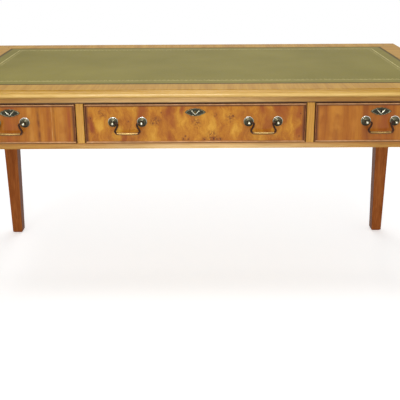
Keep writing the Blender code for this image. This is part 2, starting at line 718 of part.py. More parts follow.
def post_profile():
    """Nut, shank, rose and ball as (radius, distance out from the drawer's face)."""
    nut_face = -FRONT_THICKNESS - SEAT_GAP
    points = [
        (0.0, nut_face - NUT_THICKNESS),
        (NUT_RADIUS * NUT_TOP_SHARE, nut_face - NUT_THICKNESS),
        (NUT_RADIUS, nut_face - NUT_THICKNESS / 2),
        (NUT_RADIUS, nut_face),
        (SHANK_RADIUS, nut_face),
        (SHANK_RADIUS, SEAT_GAP),
        (ROSE_RADIUS, SEAT_GAP),
        (ROSE_RADIUS, SEAT_GAP + ROSE_RIM / 2),
        (ROSE_RADIUS - ROSE_RIM / 2, SEAT_GAP + ROSE_RIM),
        (ROSE_STEP_RADIUS, SEAT_GAP + ROSE_RIM),
        ((ROSE_STEP_RADIUS + NECK_RADIUS) / 2, (ROSE_RIM + 3 * ROSE_DOME_HEIGHT) / 4),
        (NECK_RADIUS, ROSE_DOME_HEIGHT),
    ]
    joint = math.asin(NECK_RADIUS / BALL_RADIUS)
    for i in range(BALL_STEPS + 1):
        angle = joint + (math.pi - joint) * i / BALL_STEPS
        radius = BALL_RADIUS * math.sin(angle) if i < BALL_STEPS else 0.0
        points.append((radius, PIN_REACH - BALL_RADIUS * math.cos(angle)))
    return points


def lathe(name, profile, material):
    """Turns a profile of (radius, distance) round the Y axis, distance running towards -Y."""
    points, faces, rings = [], [], []
    for radius, out in profile:
        if radius == 0.0:
            rings.append([len(points)])
            points.append((0.0, -out, 0.0))
            continue
        rings.append(list(range(len(points), len(points) + ROUND_STEPS)))
        points += [(x, -out, z) for x, z in circle(radius, ROUND_STEPS)]
    for low, high in zip(rings, rings[1:]):
        for i in range(ROUND_STEPS):
            j = (i + 1) % ROUND_STEPS
            if len(low) == 1:
                faces.append((low[0], high[j], high[i]))
            elif len(high) == 1:
                faces.append((low[i], low[j], high[0]))
            else:
                faces.append((low[i], low[j], high[j], high[i]))
    return solid(name, points, faces, material)


# Post on its rose, with a blind bore in the ball for the handle's pin, towards +X
def handle_post(name):
    post = lathe(name, post_profile(), "antique_brass")
    start = POST_SPACING / 2 - BAIL_TOP_HALF
    depth = BALL_RADIUS - PIN_DEPTH - BORE_EXTRA
    outline = circle(PIN_RADIUS + SEAT_GAP, SWEEP_STEPS, (-PIN_REACH, 0.0))
    bore = prism("bore", outline, depth, start + CUT_EXTRA, "X", "antique_brass")
    return shade_round(carve(post, [bore]))


def bend(start, first, second, end, count):
    """Points along a cubic curve, its start left out."""
    found = []
    for i in range(1, count + 1):
        t = i / count
        weights = ((1 - t) ** 3, 3 * t * (1 - t) ** 2, 3 * t * t * (1 - t), t**3)
        found.append(sum(w * np.array(p) for w, p in zip(weights, (start, first, second, end))))
    return found


def bail_half():
    """From one pin to the middle of the grip, as (X, Z, radius)."""
    pin_tip = POST_SPACING / 2 - (BALL_RADIUS - PIN_DEPTH)
    top = (BAIL_TOP_HALF, 0.0, PIN_RADIUS)
    curl = (BAIL_CURL_HALF, 0.0, BAIL_NECK_RADIUS)
    sway = (BAIL_SWAY_HALF, -BAIL_SWAY_DROP, BAIL_NECK_RADIUS)
    bulge = (BAIL_BULGE_HALF, -BAIL_BULGE_DROP, BAIL_NECK_RADIUS)
    run_on = BAIL_BULGE_SHARE * (np.array(bulge) - np.array(sway))
    lower = np.array(bulge) + run_on
    corner = (BAIL_CORNER_HALF, -BAIL_DROP, BAIL_NECK_RADIUS)
    grip = (BAIL_BEND_HALF, -BAIL_DROP, (BAIL_NECK_RADIUS + BAIL_BAR_RADIUS) / 2)
    path = [np.array((pin_tip, 0.0, PIN_RADIUS)), np.array(top)]
    path += bend(top, curl, sway, bulge, BEND_STEPS)
    path += bend(bulge, lower, corner, grip, BEND_STEPS)
    for i in range(1, BAR_STEPS + 1):
        t = i / BAR_STEPS
        bow = BAIL_BOW * math.sin(math.pi / 2 * t)
        swell = math.sin(math.pi / 2 * t)
        radius = grip[2] + (BAIL_BAR_RADIUS - grip[2]) * swell
        path.append(np.array((BAIL_BEND_HALF * (1.0 - t), -BAIL_DROP - bow, radius)))
    return path


# Swan-neck drop handle, hanging from its two pins
def bail(name):
    half = bail_half()
    path = half + [point * (-1, 1, 1) for point in reversed(half[:-1])]
    rings = []
    for i, (x, z, radius) in enumerate(path):
        before, after = path[max(i - 1, 0)], path[min(i + 1, len(path) - 1)]
        along = (after - before)[:2]
        along /= np.linalg.norm(along)
        across = np.array((-along[1], 0.0, along[0]))
        ring = []
        for a, b in circle(radius, SWEEP_STEPS):
            ring.append(np.array((x, b, z)) + a * across)
        rings.append(ring)
    return shade_round(loft(name, rings, "antique_brass"), BAIL_SHARP_DEGREES)


# One drawer with everything that slides with it
def drawer(word, centre_x, width, handles):
    frame = empty(f"{word}_drawer_slide", (centre_x, DRAWER_Y, OPENING_BOTTOM))
    pieces = [
        drawer_front(f"{word}_drawer_front", width, handles),
        cock_bead(f"{word}_cock_bead", width),
        drawer_side(f"{word}_drawer_side_left", width, -1),
        drawer_side(f"{word}_drawer_side_right", width, 1),
        drawer_back(f"{word}_drawer_back", width),
        drawer_bottom(f"{word}_drawer_bottom", width),
        escutcheon(f"{word}_escutcheon"),
        lock_case(f"{word}_lock_case"),
    ]
    bolt = lock_bolt(f"{word}_lock_bolt")
    bolt.location = (0.0, lock_middle_y(), FRONT_TOP - SEAT_GAP - BOLT_LENGTH / 2)
    pieces.append(bolt)
    for piece in pieces:
        piece.parent = frame
    return frame


def fit_handles(frame, word, handles, post_model, bail_model):
    """Two posts and a bail at each handle place of a drawer."""
    names = ("handle",) if len(handles) == 1 else ("handle_left", "handle_right")
    for name, x in zip(names, handles):
        for side, end in ((-1, "left"), (1, "right")):
            post = another(f"{word}_{name}_post_{end}", post_model)
            post.location = (x + side * POST_SPACING / 2, 0.0, PIN_Z)
            post.rotation_euler = (0.0, math.pi if side > 0 else 0.0, 0.0)
            post.parent = frame
        swing = another(f"{word}_{name}_bail", bail_model)
        swing.location = (x, -PIN_REACH, PIN_Z)
        swing.parent = frame


def drawers():
    places = {
        "left": (-SIDE_CENTRE_X, SIDE_OPENING, (0.0,)),
        "middle": (0.0, MIDDLE_OPENING, (-MIDDLE_HANDLE_OFFSET, MIDDLE_HANDLE_OFFSET)),
        "right": (SIDE_CENTRE_X, SIDE_OPENING, (0.0,)),
    }
    post_model, bail_model = handle_post("post_model"), bail("bail_model")
    for word, (centre_x, width, handles) in places.items():
        frame = drawer(word, centre_x, width, handles)
        fit_handles(frame, word, handles, post_model, bail_model)
    for model in (post_model, bail_model):
        bpy.data.objects.remove(model, do_unlink=True)


def main():
    clear_scene()
    top_board()
    moulded_edges()
    legs()
    front_rails()
    front_dividers()
    aprons()
    end_guides()
    partitions()
    drawers()
    bpy.context.view_layer.update()


main()
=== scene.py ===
# %% [markdown]
# # A writing table, dressed for its portrait
#
# The table is a yew writing table with a green leather top, three drawers in the frieze and
# darkened brass handles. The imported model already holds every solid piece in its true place,
# so this lesson never moves anything: it loads those solids as a fixed frame, gives each one
# the finish of the real thing, and puts finer surfaces where a plain solid would look too
# simple. Shapes are in metres, and each piece is built where it belongs; patterns inside the
# materials are in millimetres.

# %% Load the frame
import json
import math
import bmesh
import bpy
import numpy as np
from mathutils import Matrix, Vector

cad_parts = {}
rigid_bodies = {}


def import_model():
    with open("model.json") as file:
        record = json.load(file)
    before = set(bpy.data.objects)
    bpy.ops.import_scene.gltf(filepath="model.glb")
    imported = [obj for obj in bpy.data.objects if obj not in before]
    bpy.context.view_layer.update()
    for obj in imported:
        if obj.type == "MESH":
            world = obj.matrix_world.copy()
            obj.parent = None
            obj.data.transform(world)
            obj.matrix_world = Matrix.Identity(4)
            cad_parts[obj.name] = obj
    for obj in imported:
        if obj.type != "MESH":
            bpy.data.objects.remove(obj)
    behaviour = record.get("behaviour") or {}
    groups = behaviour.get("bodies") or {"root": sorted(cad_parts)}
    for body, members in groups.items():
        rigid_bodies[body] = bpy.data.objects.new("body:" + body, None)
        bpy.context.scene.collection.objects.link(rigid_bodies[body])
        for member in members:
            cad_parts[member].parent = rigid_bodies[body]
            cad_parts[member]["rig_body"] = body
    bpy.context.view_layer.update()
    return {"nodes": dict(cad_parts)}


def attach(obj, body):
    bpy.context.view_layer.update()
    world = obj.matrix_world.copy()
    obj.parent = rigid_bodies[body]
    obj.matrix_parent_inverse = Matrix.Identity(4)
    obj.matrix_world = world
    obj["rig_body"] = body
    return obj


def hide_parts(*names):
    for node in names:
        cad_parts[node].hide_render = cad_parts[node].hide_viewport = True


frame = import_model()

print("solids in the frame:", len(frame["nodes"]))

# %% [markdown]
# ## The camera
#
# A photograph of furniture is usually taken from eye height with a lens a little longer than
# normal. The camera stands in front of the table and looks down at it by about 17 degrees, so
# near that both ends run out of the picture. A level camera with a shifted lens keeps the legs
# upright, and a little of that shift is used here; the rest is plain tilt. The turn is written
# as three directions, because they are easier to check than three angles.

# %% Camera at the photograph's place
CAMERA_PLACE = (0.0091, -2.1071, 1.1751)
PITCH_DOWN = math.radians(16.915)
YAW_RIGHT = math.radians(0.1183)
ROLL = math.radians(-0.2808)
LENS = 58.94
SHIFT_UP = -0.175


def placed(name, data):
    """A new object that shows the data, linked to the scene."""
    made = bpy.data.objects.new(name, data)
    bpy.context.scene.collection.objects.link(made)
    return made


camera = placed("camera", bpy.data.cameras.new("camera"))
bpy.context.scene.camera = camera
camera.data.lens = LENS
camera.data.shift_y = SHIFT_UP
forward = Vector((math.sin(YAW_RIGHT) * math.cos(PITCH_DOWN),
                  math.cos(YAW_RIGHT) * math.cos(PITCH_DOWN), -math.sin(PITCH_DOWN)))
level_right = Vector((math.cos(YAW_RIGHT), -math.sin(YAW_RIGHT), 0.0))
level_up = level_right.cross(forward)
right = level_right * math.cos(ROLL) + level_up * math.sin(ROLL)
up = right.cross(forward)
camera.matrix_world = Matrix.Translation(CAMERA_PLACE) @ Matrix((right, up, -forward)).transposed().to_4x4()
bpy.context.scene.view_settings.view_transform = "Standard"
print("camera looks along", [round(value, 3) for value in forward])

# %% [markdown]
# ## Light, backdrop and floor
#
# The photograph has a plain white surround, so the sky is white wherever the camera or a
# mirror-like surface looks at it. The light that it gives to the wood is weaker, which leaves
# room for three soft lamps to model the shapes. The floor takes a soft shadow and glows a
# little for the camera and for reflections, so that it meets the white surround without an edge.


# %% One function that adds a node
def linear(hex_colour):
    """An sRGB colour such as "#b07a3c" as linear light with full opacity."""
    shown = np.array([int(hex_colour[i:i + 2], 16) / 255 for i in (1, 3, 5)])
    dark, bright = shown / 12.92, ((shown + 0.055) / 1.055) ** 2.4
    return (*np.where(shown <= 0.04045, dark, bright).tolist(), 1.0)


def add(tree, kind, inputs=(), stops=(), **settings):
    """Adds a node, sets its settings, and gives each named or numbered input a value or a link.

    The kind is written without its ShaderNode. A node given to an input stands for its first output
    in use. Stops are the (place, hex colour) pairs of a colour ramp.
    """
    node = tree.nodes.new("ShaderNode" + kind)
    for name, value in settings.items():
        setattr(node, name, value)
    for name, value in inputs.items() if isinstance(inputs, dict) else enumerate(inputs):
        if isinstance(value, bpy.types.Node):
            value = next(output for output in value.outputs if output.enabled)
        if isinstance(value, bpy.types.NodeSocket):
            tree.links.new(value, node.inputs[name])
        else:
            node.inputs[name].default_value = value
    if stops:
        points = node.color_ramp.elements
        while len(points) < len(stops):
            points.new(0.5)
        for point, (place, colour) in zip(points, stops):
            point.position = place
            point.color = linear(colour)
    return node


def start_material(name):
    """A new material and its empty node tree."""
    made = bpy.data.materials.new(name)
    made.use_nodes = True
    made.node_tree.nodes.clear()
    return made, made.node_tree


print("mid grey in linear light:", round(linear("#808080")[0], 3))

# %% White surround that gives the wood a weaker light
SKY_ON_WOOD = 0.46

sky = bpy.data.worlds.new("studio_sky")
bpy.context.scene.world = sky
sky.use_nodes = True
tree = sky.node_tree
tree.nodes.clear()
rays = add(tree, "LightPath").outputs
seen = add(tree, "Math", (rays["Is Camera Ray"], rays["Is Glossy Ray"]), operation="MAXIMUM")
seen = add(tree, "Math", (seen, rays["Is Transmission Ray"]), operation="MAXIMUM")
strength = add(tree, "MapRange", {"Value": seen, "To Min": SKY_ON_WOOD, "To Max": 1.0})
backdrop = add(tree, "Background", {"Color": linear("#ffffff"), "Strength": strength})
add(tree, "OutputWorld", {"Surface": backdrop})
print("sky on the wood:", SKY_ON_WOOD)


# %% Soft lamps
def soft_lamp(name, place, aim, width, depth, watts):
    """A rectangular lamp at a place, turned so that it faces the aim."""
    lamp = placed(name, bpy.data.lights.new(name, "AREA"))
    lamp.data.shape = "RECTANGLE"
    lamp.data.size = width
    lamp.data.size_y = depth
    lamp.data.energy = watts
    lamp.location = place
    lamp.rotation_euler = (Vector(aim) - Vector(place)).to_track_quat("-Z", "Y").to_euler()
    return lamp


soft_lamp("lamp_overhead", (-0.2, -1.25, 3.0), (0.0, -0.2, 0.6), 2.6, 0.6, 30.0)
soft_lamp("lamp_front", (-0.3, -3.0, 1.5), (0.0, 0.0, 0.65), 1.0, 0.7, 26.0)
soft_lamp("lamp_back", (0.2, 2.4, 3.0), (0.0, 0.0, 0.6), 2.0, 1.4, 26.0)
print("lamps: 3")

# %% Floor
FLOOR_HALF = 40.0
FLOOR_GLOW = 0.485
WHITE_FROM = 2.0
WHITE_AT = 5.0


def new_mesh(name, points, faces):
    """A mesh from points and the faces between them."""
    mesh = bpy.data.meshes.new(name)
    mesh.from_pydata(points, [], faces)
    return mesh


corners = [(FLOOR_HALF * x, FLOOR_HALF * y, 0.0) for x, y in ((-1, -1), (1, -1), (1, 1), (-1, 1))]
floor = placed("floor", new_mesh("floor", corners, [(0, 1, 2, 3)]))

paper, tree = start_material("matt_white_paper")
rays = add(tree, "LightPath").outputs
seen = add(tree, "Math", (rays["Is Camera Ray"], rays["Is Glossy Ray"]), operation="MAXIMUM")
glow = add(tree, "Math", (seen, FLOOR_GLOW), operation="MULTIPLY")
matt = add(tree, "BsdfDiffuse", {"Color": linear("#e8e8e8")})
near = add(tree, "AddShader", (matt, add(tree, "Emission", {"Strength": glow})))
away = add(tree, "VectorMath", (add(tree, "TexCoord").outputs["Object"],), operation="LENGTH")
far = add(tree, "MapRange", {"Value": away, "From Min": WHITE_FROM, "From Max": WHITE_AT},
          interpolation_type="SMOOTHSTEP")
far = add(tree, "Math", (far, seen), operation="MULTIPLY")
both = add(tree, "MixShader", (far, near, add(tree, "Emission")))
add(tree, "OutputMaterial", {"Surface": both})
floor.data.materials.append(paper)
print("floor half size:", FLOOR_HALF)

# %% [markdown]
# ## Patterns that every finish shares
#
# A photograph of the wood would be the quick way to show it, but it would repeat and could not
# be recoloured. Here the figure is worked out from noise instead: the place on the piece is
# pushed about a little, so that the grain wanders, and is then stretched along the grain. The
# same stretched place feeds broad bands, narrow streaks and fine fibres. Marks that lie in one
# place, such as a painted highlight, a band of painted shade or a gilt line, are stripes: shares
# that fall off with the distance from a middle.


# %% Place, noise and stripes
def place_in_mm(tree):
    """Where on the piece, in millimetres, so that every pattern below is sized in millimetres."""
    place = add(tree, "TexCoord").outputs["Object"]
    return add(tree, "VectorMath", {0: place, "Scale": 1000.0}, operation="SCALE")


def pushed(tree, mm, size, detail, reach):
    """The place, pushed about by noise of that size in mm, by up to half the reach each way."""
    push = add(tree, "TexNoise", {"Vector": mm, "Scale": 1 / size, "Detail": detail}).outputs["Color"]
    push = add(tree, "VectorMath", (push, (0.5, 0.5, 0.5)), operation="SUBTRACT")
    return add(tree, "VectorMath", (push, reach, mm), operation="MULTIPLY_ADD")


def grain(tree, mm, along, seed, band=16.0, streak=4.0, fibre=1.3, wander=7.0):
    """Shares of band, streak and fibre: noise of those widths in mm, drawn out along one axis."""
    bent = pushed(tree, mm, 130, 2.0, (wander * 2,) * 3)
    drawn_out = [1.0, 1.0, 1.0]
    drawn_out["XYZ".index(along)] = 0.06
    run = add(tree, "Mapping", {"Vector": bent, "Scale": drawn_out,
                                "Location": (seed * 31.7, seed * 17.3, seed * 43.1)})
    return [add(tree, "TexNoise", {"Vector": run, "Scale": 1 / width, "Detail": detail, "Roughness": 0.55})
            for width, detail in ((band, 3.0), (streak, 4.0), (fibre, 2.0))]


def weighted(tree, shares, weights):
    """The sum of several shares, each times its weight."""
    total = 0.0
    for share, weight in zip(shares, weights):
        total = add(tree, "Math", (share, weight, total), operation="MULTIPLY_ADD")
    return total


def distance(tree, value, middle):
    """How far the value lies from the middle, to either side."""
    off = add(tree, "Math", (value, middle), operation="SUBTRACT")
    return add(tree, "Math", (off,), operation="ABSOLUTE")


def stripe(tree, value, middle, full, none, most=1.0, ease="SMOOTHSTEP"):
    """A share that is at its most up to full from the middle, and falls to 0 at none from it."""
    off = distance(tree, value, middle)
    return add(tree, "MapRange", {"Value": off, "From Min": full, "From Max": none, "To Min": most,
                                  "To Max": 0.0}, interpolation_type=ease)


print("patterns: pushed, grain, weighted, distance, stripe")

# %% From patterns to a surface
POLISH_IOR = 1.5
COAT_ROUGHNESS = 0.12


def surface(tree, colour, worn, roughness, height, strength, depth, numbers):
    """Ends a material: roughness runs over the worn share, and the height stands out by the depth."""
    rough = add(tree, "MapRange", {"Value": worn, "To Min": roughness[0], "To Max": roughness[1]})
    bump = add(tree, "Bump", {"Height": height, "Strength": strength, "Distance": depth})
    varying = {"Base Color": colour, "Roughness": rough, "Normal": bump}
    shader = add(tree, "BsdfPrincipled", {**varying, **numbers})
    add(tree, "OutputMaterial", {"Surface": shader})


def polished(tree, colour, fibre, roughness, coat, depth, gloss=0.3):
    """Wax polish over open fibres: the fibres are a little rougher, and stand a hair above the rest."""
    surface(tree, colour, fibre, roughness, fibre, 0.35, depth,
            {"IOR": POLISH_IOR, "Specular IOR Level": gloss, "Coat Weight": coat,
             "Coat Roughness": COAT_ROUGHNESS})


print("polish IOR and coat roughness:", POLISH_IOR, COAT_ROUGHNESS)

# %% [markdown]
# ## Polished yew
#
# Yew is a honey-coloured softwood with fine, close rings, and a wax or shellac polish turns it
# orange and glossy. The table is not one colour. A painted highlight lies on the middle of the
# front and just above the moulding's nose. Painted shade lies on the top rail, under the moulding
# and along its lower edge. A redder band runs along the foot of the openings, and painted shade
# lies on the leg faces that look at the knee hole. Each of those is one more coat over the
# plain wood.

# %% Painted highlight, painted shade and a foot band on the front
OPENING_BOTTOM = 0.609
OPENING_TOP = 0.724
NOSE_HIGHLIGHT_Z = 0.7485
# In mm: how far the foot band and the painted shade by the gap reach from an opening's edge, and the heights
# over which painted shade under the moulding grows
FOOT_BAND_REACH = 7.5
GAP_SHADE_FULL, GAP_SHADE_NONE = 1.6, 3.8
MOULDING_SHADE_FROM, MOULDING_SHADE_AT = 730.0, 741.0
# How far from the middle a leg's face stands, times -1 where it looks inwards
INSIDE_FULL, INSIDE_NONE = -650.0, -350.0


def painted_highlight_and_shade(tree, mm, colour, pale, reach, centres, moulding_shade):
    """Painted highlight on the middle of the front; painted shade on the top rail under the moulding
    and along its lower edge; a redder band along the openings' foot.

    The centres are the middles of the painted highlight at the openings' foot and head, and
    moulding_shade is the share of painted shade on the top rail under the moulding.
    """
    x, _, z = add(tree, "SeparateXYZ", (mm,)).outputs
    foot, head = 1000 * OPENING_BOTTOM, 1000 * OPENING_TOP
    span = {"Value": z, "From Min": foot, "From Max": head}
    # Painted shade: the top rail is darker under the moulding.
    painted_moulding_shade = add(tree, "MapRange", {**span, "To Max": moulding_shade / 2})
    centre = add(tree, "MapRange", {**span, "To Min": centres[0], "To Max": centres[1]})
    # Painted highlight: the middle of the front is paler.
    wear_and_highlight = stripe(tree, x, centre, 0.0, reach)
    # A redder, darker band along the foot of the openings.
    foot_band = stripe(tree, z, foot, 0.0, FOOT_BAND_REACH, 0.68, "LINEAR")
    # Painted shade along the top rail's lower edge by the gap at each opening's head, and growing towards the
    # moulding.
    painted_gap_shade = stripe(tree, z, head, GAP_SHADE_FULL, GAP_SHADE_NONE, 0.92, "LINEAR")
    corner = add(tree, "MapRange", {"Value": z, "From Min": MOULDING_SHADE_FROM, "From Max": MOULDING_SHADE_AT,
                                    "To Max": moulding_shade})
    painted_gap_shade = add(tree, "Math", (painted_gap_shade, corner), operation="MAXIMUM")
    for share, coat in ((painted_moulding_shade, linear("#5a3a1c")), (wear_and_highlight, pale), (foot_band, linear("#a8682a")),
                        (painted_gap_shade, linear("#4a2c12"))):
        colour = add(tree, "Mix", {"Factor": share, "A": colour, "B": coat}, data_type="RGBA")
    return colour


def painted_nose_highlight(tree, mm, colour, pale):
    """Painted highlight on the moulding, in a line just above its nose."""
    z = add(tree, "SeparateXYZ", (mm,)).outputs["Z"]
    share = stripe(tree, z, 1000 * NOSE_HIGHLIGHT_Z, 1.0, 8.0, 0.9)
    return add(tree, "Mix", {"Factor": share, "A": colour, "B": pale}, data_type="RGBA")


def painted_shade_inside(tree, mm, colour, dark):
    """Painted shade on the leg faces that look at the knee hole: they are darker.

    On those faces the way the face looks and the place have opposite signs along the table.
    """
    facing = add(tree, "TexCoord").outputs["Normal"]
    inwards = add(tree, "VectorMath", (facing, mm), operation="MULTIPLY")
    inwards = add(tree, "SeparateXYZ", (inwards,)).outputs["X"]
    share = add(tree, "MapRange", {"Value": inwards, "From Min": INSIDE_FULL, "From Max": INSIDE_NONE,
                                   "To Min": 0.62, "To Max": 0.0})
    return add(tree, "Mix", {"Factor": share, "A": colour, "B": linear(dark)}, data_type="RGBA")


print("openings in z:", OPENING_BOTTOM, OPENING_TOP)


# %% Long-grained yew, one material for each direction
def long_grained_yew(name, along, seed, tones, coat=0.15, gloss=0.3, worn=None, reach=520.0,
                     centres=(50.0, -75.0), moulding_shade=0.17, nose=None, inner=None):
    """Solid yew, planed and waxed: close straight grain that shows as soft golden and brown lines."""
    made, tree = start_material(name)
    mm = place_in_mm(tree)
    shares = grain(tree, mm, along, seed)
    figure = weighted(tree, shares, (0.45, 0.40, 0.15))
    colour = add(tree, "ValToRGB", (figure,), tones)
    # worn holds the tones of the painted highlight and brings in the painted shade and foot band on the
    # front; nose holds the tones of the painted highlight above the moulding's nose; inner is the colour of
    # the painted shade on inner leg faces.
    if worn:
        pale = add(tree, "ValToRGB", (figure,), worn)
        colour = painted_highlight_and_shade(tree, mm, colour, pale, reach, centres, moulding_shade)
    if nose:
        colour = painted_nose_highlight(tree, mm, colour, add(tree, "ValToRGB", (figure,), nose))
    if inner:
        colour = painted_shade_inside(tree, mm, colour, inner)
    polished(tree, colour, shares[2], (0.26, 0.42), coat, 0.0002, gloss)
    return made


def yew_tones(*colours):
    """Four tones, from the darkest figure to the palest."""
    return tuple(zip((0.25, 0.45, 0.55, 0.75), colours))


AMBER = yew_tones("#996624", "#af7a30", "#bb883a", "#cb9c4c")
# CREAM, BLOND and PALE are tones for painted highlights.
CREAM = yew_tones("#cca062", "#dfb674", "#e7c082", "#f0ce98")
HONEY = yew_tones("#ac7226", "#c28a34", "#cd9840", "#dcac56")
STRAW = yew_tones("#9c6e20", "#ae822a", "#b88c32", "#c89c44")
BLOND = yew_tones("#ae7e34", "#c09444", "#ca9e4e", "#d8b064")
PALE = yew_tones("#d2a658", "#dcb464", "#e4bd70", "#eecb86")
BROWN = yew_tones("#7c401c", "#9c5628", "#ad6430", "#c0763c")

# worn and nose lay painted highlights, and inner lays painted shade.
yew_rail = long_grained_yew("waxed_yew_rail", "X", 1, AMBER, worn=CREAM)
yew_upright = long_grained_yew("waxed_yew_upright", "Z", 2, HONEY)
yew_edge_long = long_grained_yew("waxed_yew_moulding_long", "X", 3, STRAW, coat=0.2, worn=BLOND,
                                 reach=340.0, centres=(20.0, 20.0), moulding_shade=0.0, nose=PALE)
yew_edge_short = long_grained_yew("waxed_yew_moulding_short", "Y", 4, STRAW, coat=0.2, nose=PALE)
brown_leg = long_grained_yew("stained_yew_leg", "Z", 5, BROWN, coat=0.0, gloss=0.03, inner="#421804")
brown_long = long_grained_yew("stained_yew_apron_long", "X", 6, BROWN, coat=0.0, gloss=0.03)
brown_short = long_grained_yew("stained_yew_apron_short", "Y", 7, BROWN, coat=0.0, gloss=0.03)
print("long-grained woods: 7")

# %% [markdown]
# ## Crossbanded border of the top
#
# Round the leather runs a border of veneer laid across: its grain points out from the middle,
# and the four strips meet at mitres. Two materials would need two pieces, so one material
# draws both directions and picks between them: at the ends of the board a point is further
# past the leather in X than in Y, and along the front and back it is the other way round.

# %% Border veneer
LEATHER_HALF_X = 0.682
LEATHER_HALF_Y = 0.301
MITRE_HALF_MM = 0.5
BORDER = yew_tones("#9c6c1c", "#ac7e26", "#b78a2f", "#c49940")


def crossbanded_yew():
    """Yew veneer laid across the border, sanded and waxed: short soft streaks and dark mitre lines."""
    made, tree = start_material("crossbanded_yew_border")
    mm = place_in_mm(tree)
    x, y, _ = add(tree, "SeparateXYZ", (mm,)).outputs
    past = []
    for place, half in ((x, LEATHER_HALF_X), (y, LEATHER_HALF_Y)):
        size = add(tree, "Math", (place,), operation="ABSOLUTE")
        past.append(add(tree, "Math", (size, 1000 * half), operation="SUBTRACT"))
    at_end = add(tree, "Math", past, operation="GREATER_THAN")
    strips = []
    for along, seed in (("Y", 8), ("X", 9)):
        shares = grain(tree, mm, along, seed, band=30.0, streak=7.0)
        strips.append((weighted(tree, shares, (0.5, 0.35, 0.15)), shares[2]))
    figure, fibre = (add(tree, "Mix", {"Factor": at_end, "A": front, "B": end})
                     for front, end in zip(*strips))
    on_mitre = add(tree, "Math", (distance(tree, *past), MITRE_HALF_MM), operation="LESS_THAN")
    colour = add(tree, "ValToRGB", (figure,), BORDER)
    colour = add(tree, "Mix", {"Factor": on_mitre, "A": colour, "B": linear("#5a3a18")}, data_type="RGBA")
    polished(tree, colour, fibre, (0.38, 0.50), 0.0, 0.0002, gloss=0.08)
    return made


border_yew = crossbanded_yew()
print("border meets the leather at", LEATHER_HALF_X, LEATHER_HALF_Y)

# %% [markdown]
# ## Drawer fronts
#
# The fronts are faced with veneer about a millimetre thick, glued to a plainer board. The wide
# middle one is burr yew: the grain swirls, patches of gold and red lie side by side, and small
# dark knots sit in light rings. The outer two are cut straighter, so that their figure stands
# upright. Behind the veneer, wherever a drawer stands open, the plain board shows.

# %% Veneer on a plain board
SIDE_CENTRE = 0.5115
DRAWERS = {"left": (-SIDE_CENTRE, 0.365), "middle": (0.0, 0.616), "right": (SIDE_CENTRE, 0.365)}
DRAWER_FACE_Y = -0.3685
KEYHOLE_Z = 0.6978
VENEER = 0.0012
KEYHOLE_SHADE_RADIUS_MM = 7.5
KEYHOLE_SHADE_DEPTH_MM = 0.2
FIELD_TOP = 0.7172
FIELD_MARGIN = 0.0063
BORDER_FULL, BORDER_NONE = 0.8, 5.0
ENDS_WIDEN = 0.6
IN_XZ = (1.0, 0.0, 1.0)
BOARD = ((0.30, "#9a7342"), (0.50, "#b48d58"), (0.70, "#c39f6b"))


def behind_veneer(tree, mm, colour, fibre, centre):
    """Turns the colour to that of the plain board behind the veneer, and to painted shade in the keyhole."""
    depth = add(tree, "SeparateXYZ", (mm,)).outputs["Y"]
    back = add(tree, "Math", (depth, 1000 * (DRAWER_FACE_Y + VENEER)), operation="GREATER_THAN")
    board = add(tree, "ValToRGB", (fibre,), BOARD)
    # Painted shade: inside the keyhole's bore the wood is dark.
    flat = add(tree, "VectorMath", (mm, IN_XZ), operation="MULTIPLY")
    bore = add(tree, "VectorMath", (flat, (1000 * centre, 0.0, 1000 * KEYHOLE_Z)), operation="DISTANCE")
    bore = add(tree, "Math", (bore, KEYHOLE_SHADE_RADIUS_MM), operation="LESS_THAN")
    below_face = add(tree, "Math", (depth, 1000 * DRAWER_FACE_Y + KEYHOLE_SHADE_DEPTH_MM), operation="GREATER_THAN")
    painted_keyhole_shade = add(tree, "Math", (bore, below_face), operation="MULTIPLY")
    colour = add(tree, "Mix", {"Factor": back, "A": colour, "B": board}, data_type="RGBA")
    return add(tree, "Mix", {"Factor": painted_keyhole_shade, "A": colour, "B": linear("#2a140a")}, data_type="RGBA")


def painted_shade_by_bead(tree, mm, colour, centre, width):
    """Painted shade where the veneer meets the bead: a thin dark line at the ends and along the top."""
    x, _, z = add(tree, "SeparateXYZ", (mm,)).outputs
    off = distance(tree, x, 1000 * centre)
    from_end = add(tree, "Math", (1000 * (width / 2 - FIELD_MARGIN), off), operation="SUBTRACT")
    from_end = add(tree, "Math", (from_end, ENDS_WIDEN), operation="MULTIPLY")
    from_top = add(tree, "Math", (1000 * FIELD_TOP, z), operation="SUBTRACT")
    nearest = add(tree, "Math", (from_end, from_top), operation="MINIMUM")
    shade = add(tree, "MapRange", {"Value": nearest, "From Min": BORDER_FULL, "From Max": BORDER_NONE,
                                   "To Min": 0.9, "To Max": 0.0})
    return add(tree, "Mix", {"Factor": shade, "A": colour, "B": linear("#5a2a10")}, data_type="RGBA")


print("veneer thickness:", VENEER)

# %% Upright veneer of the side drawers
SWAY = 26.0
UPRIGHT = ((0.28, "#7e3c08"), (0.42, "#9e5710"), (0.54, "#b06a18"), (0.70, "#c98a2c"))


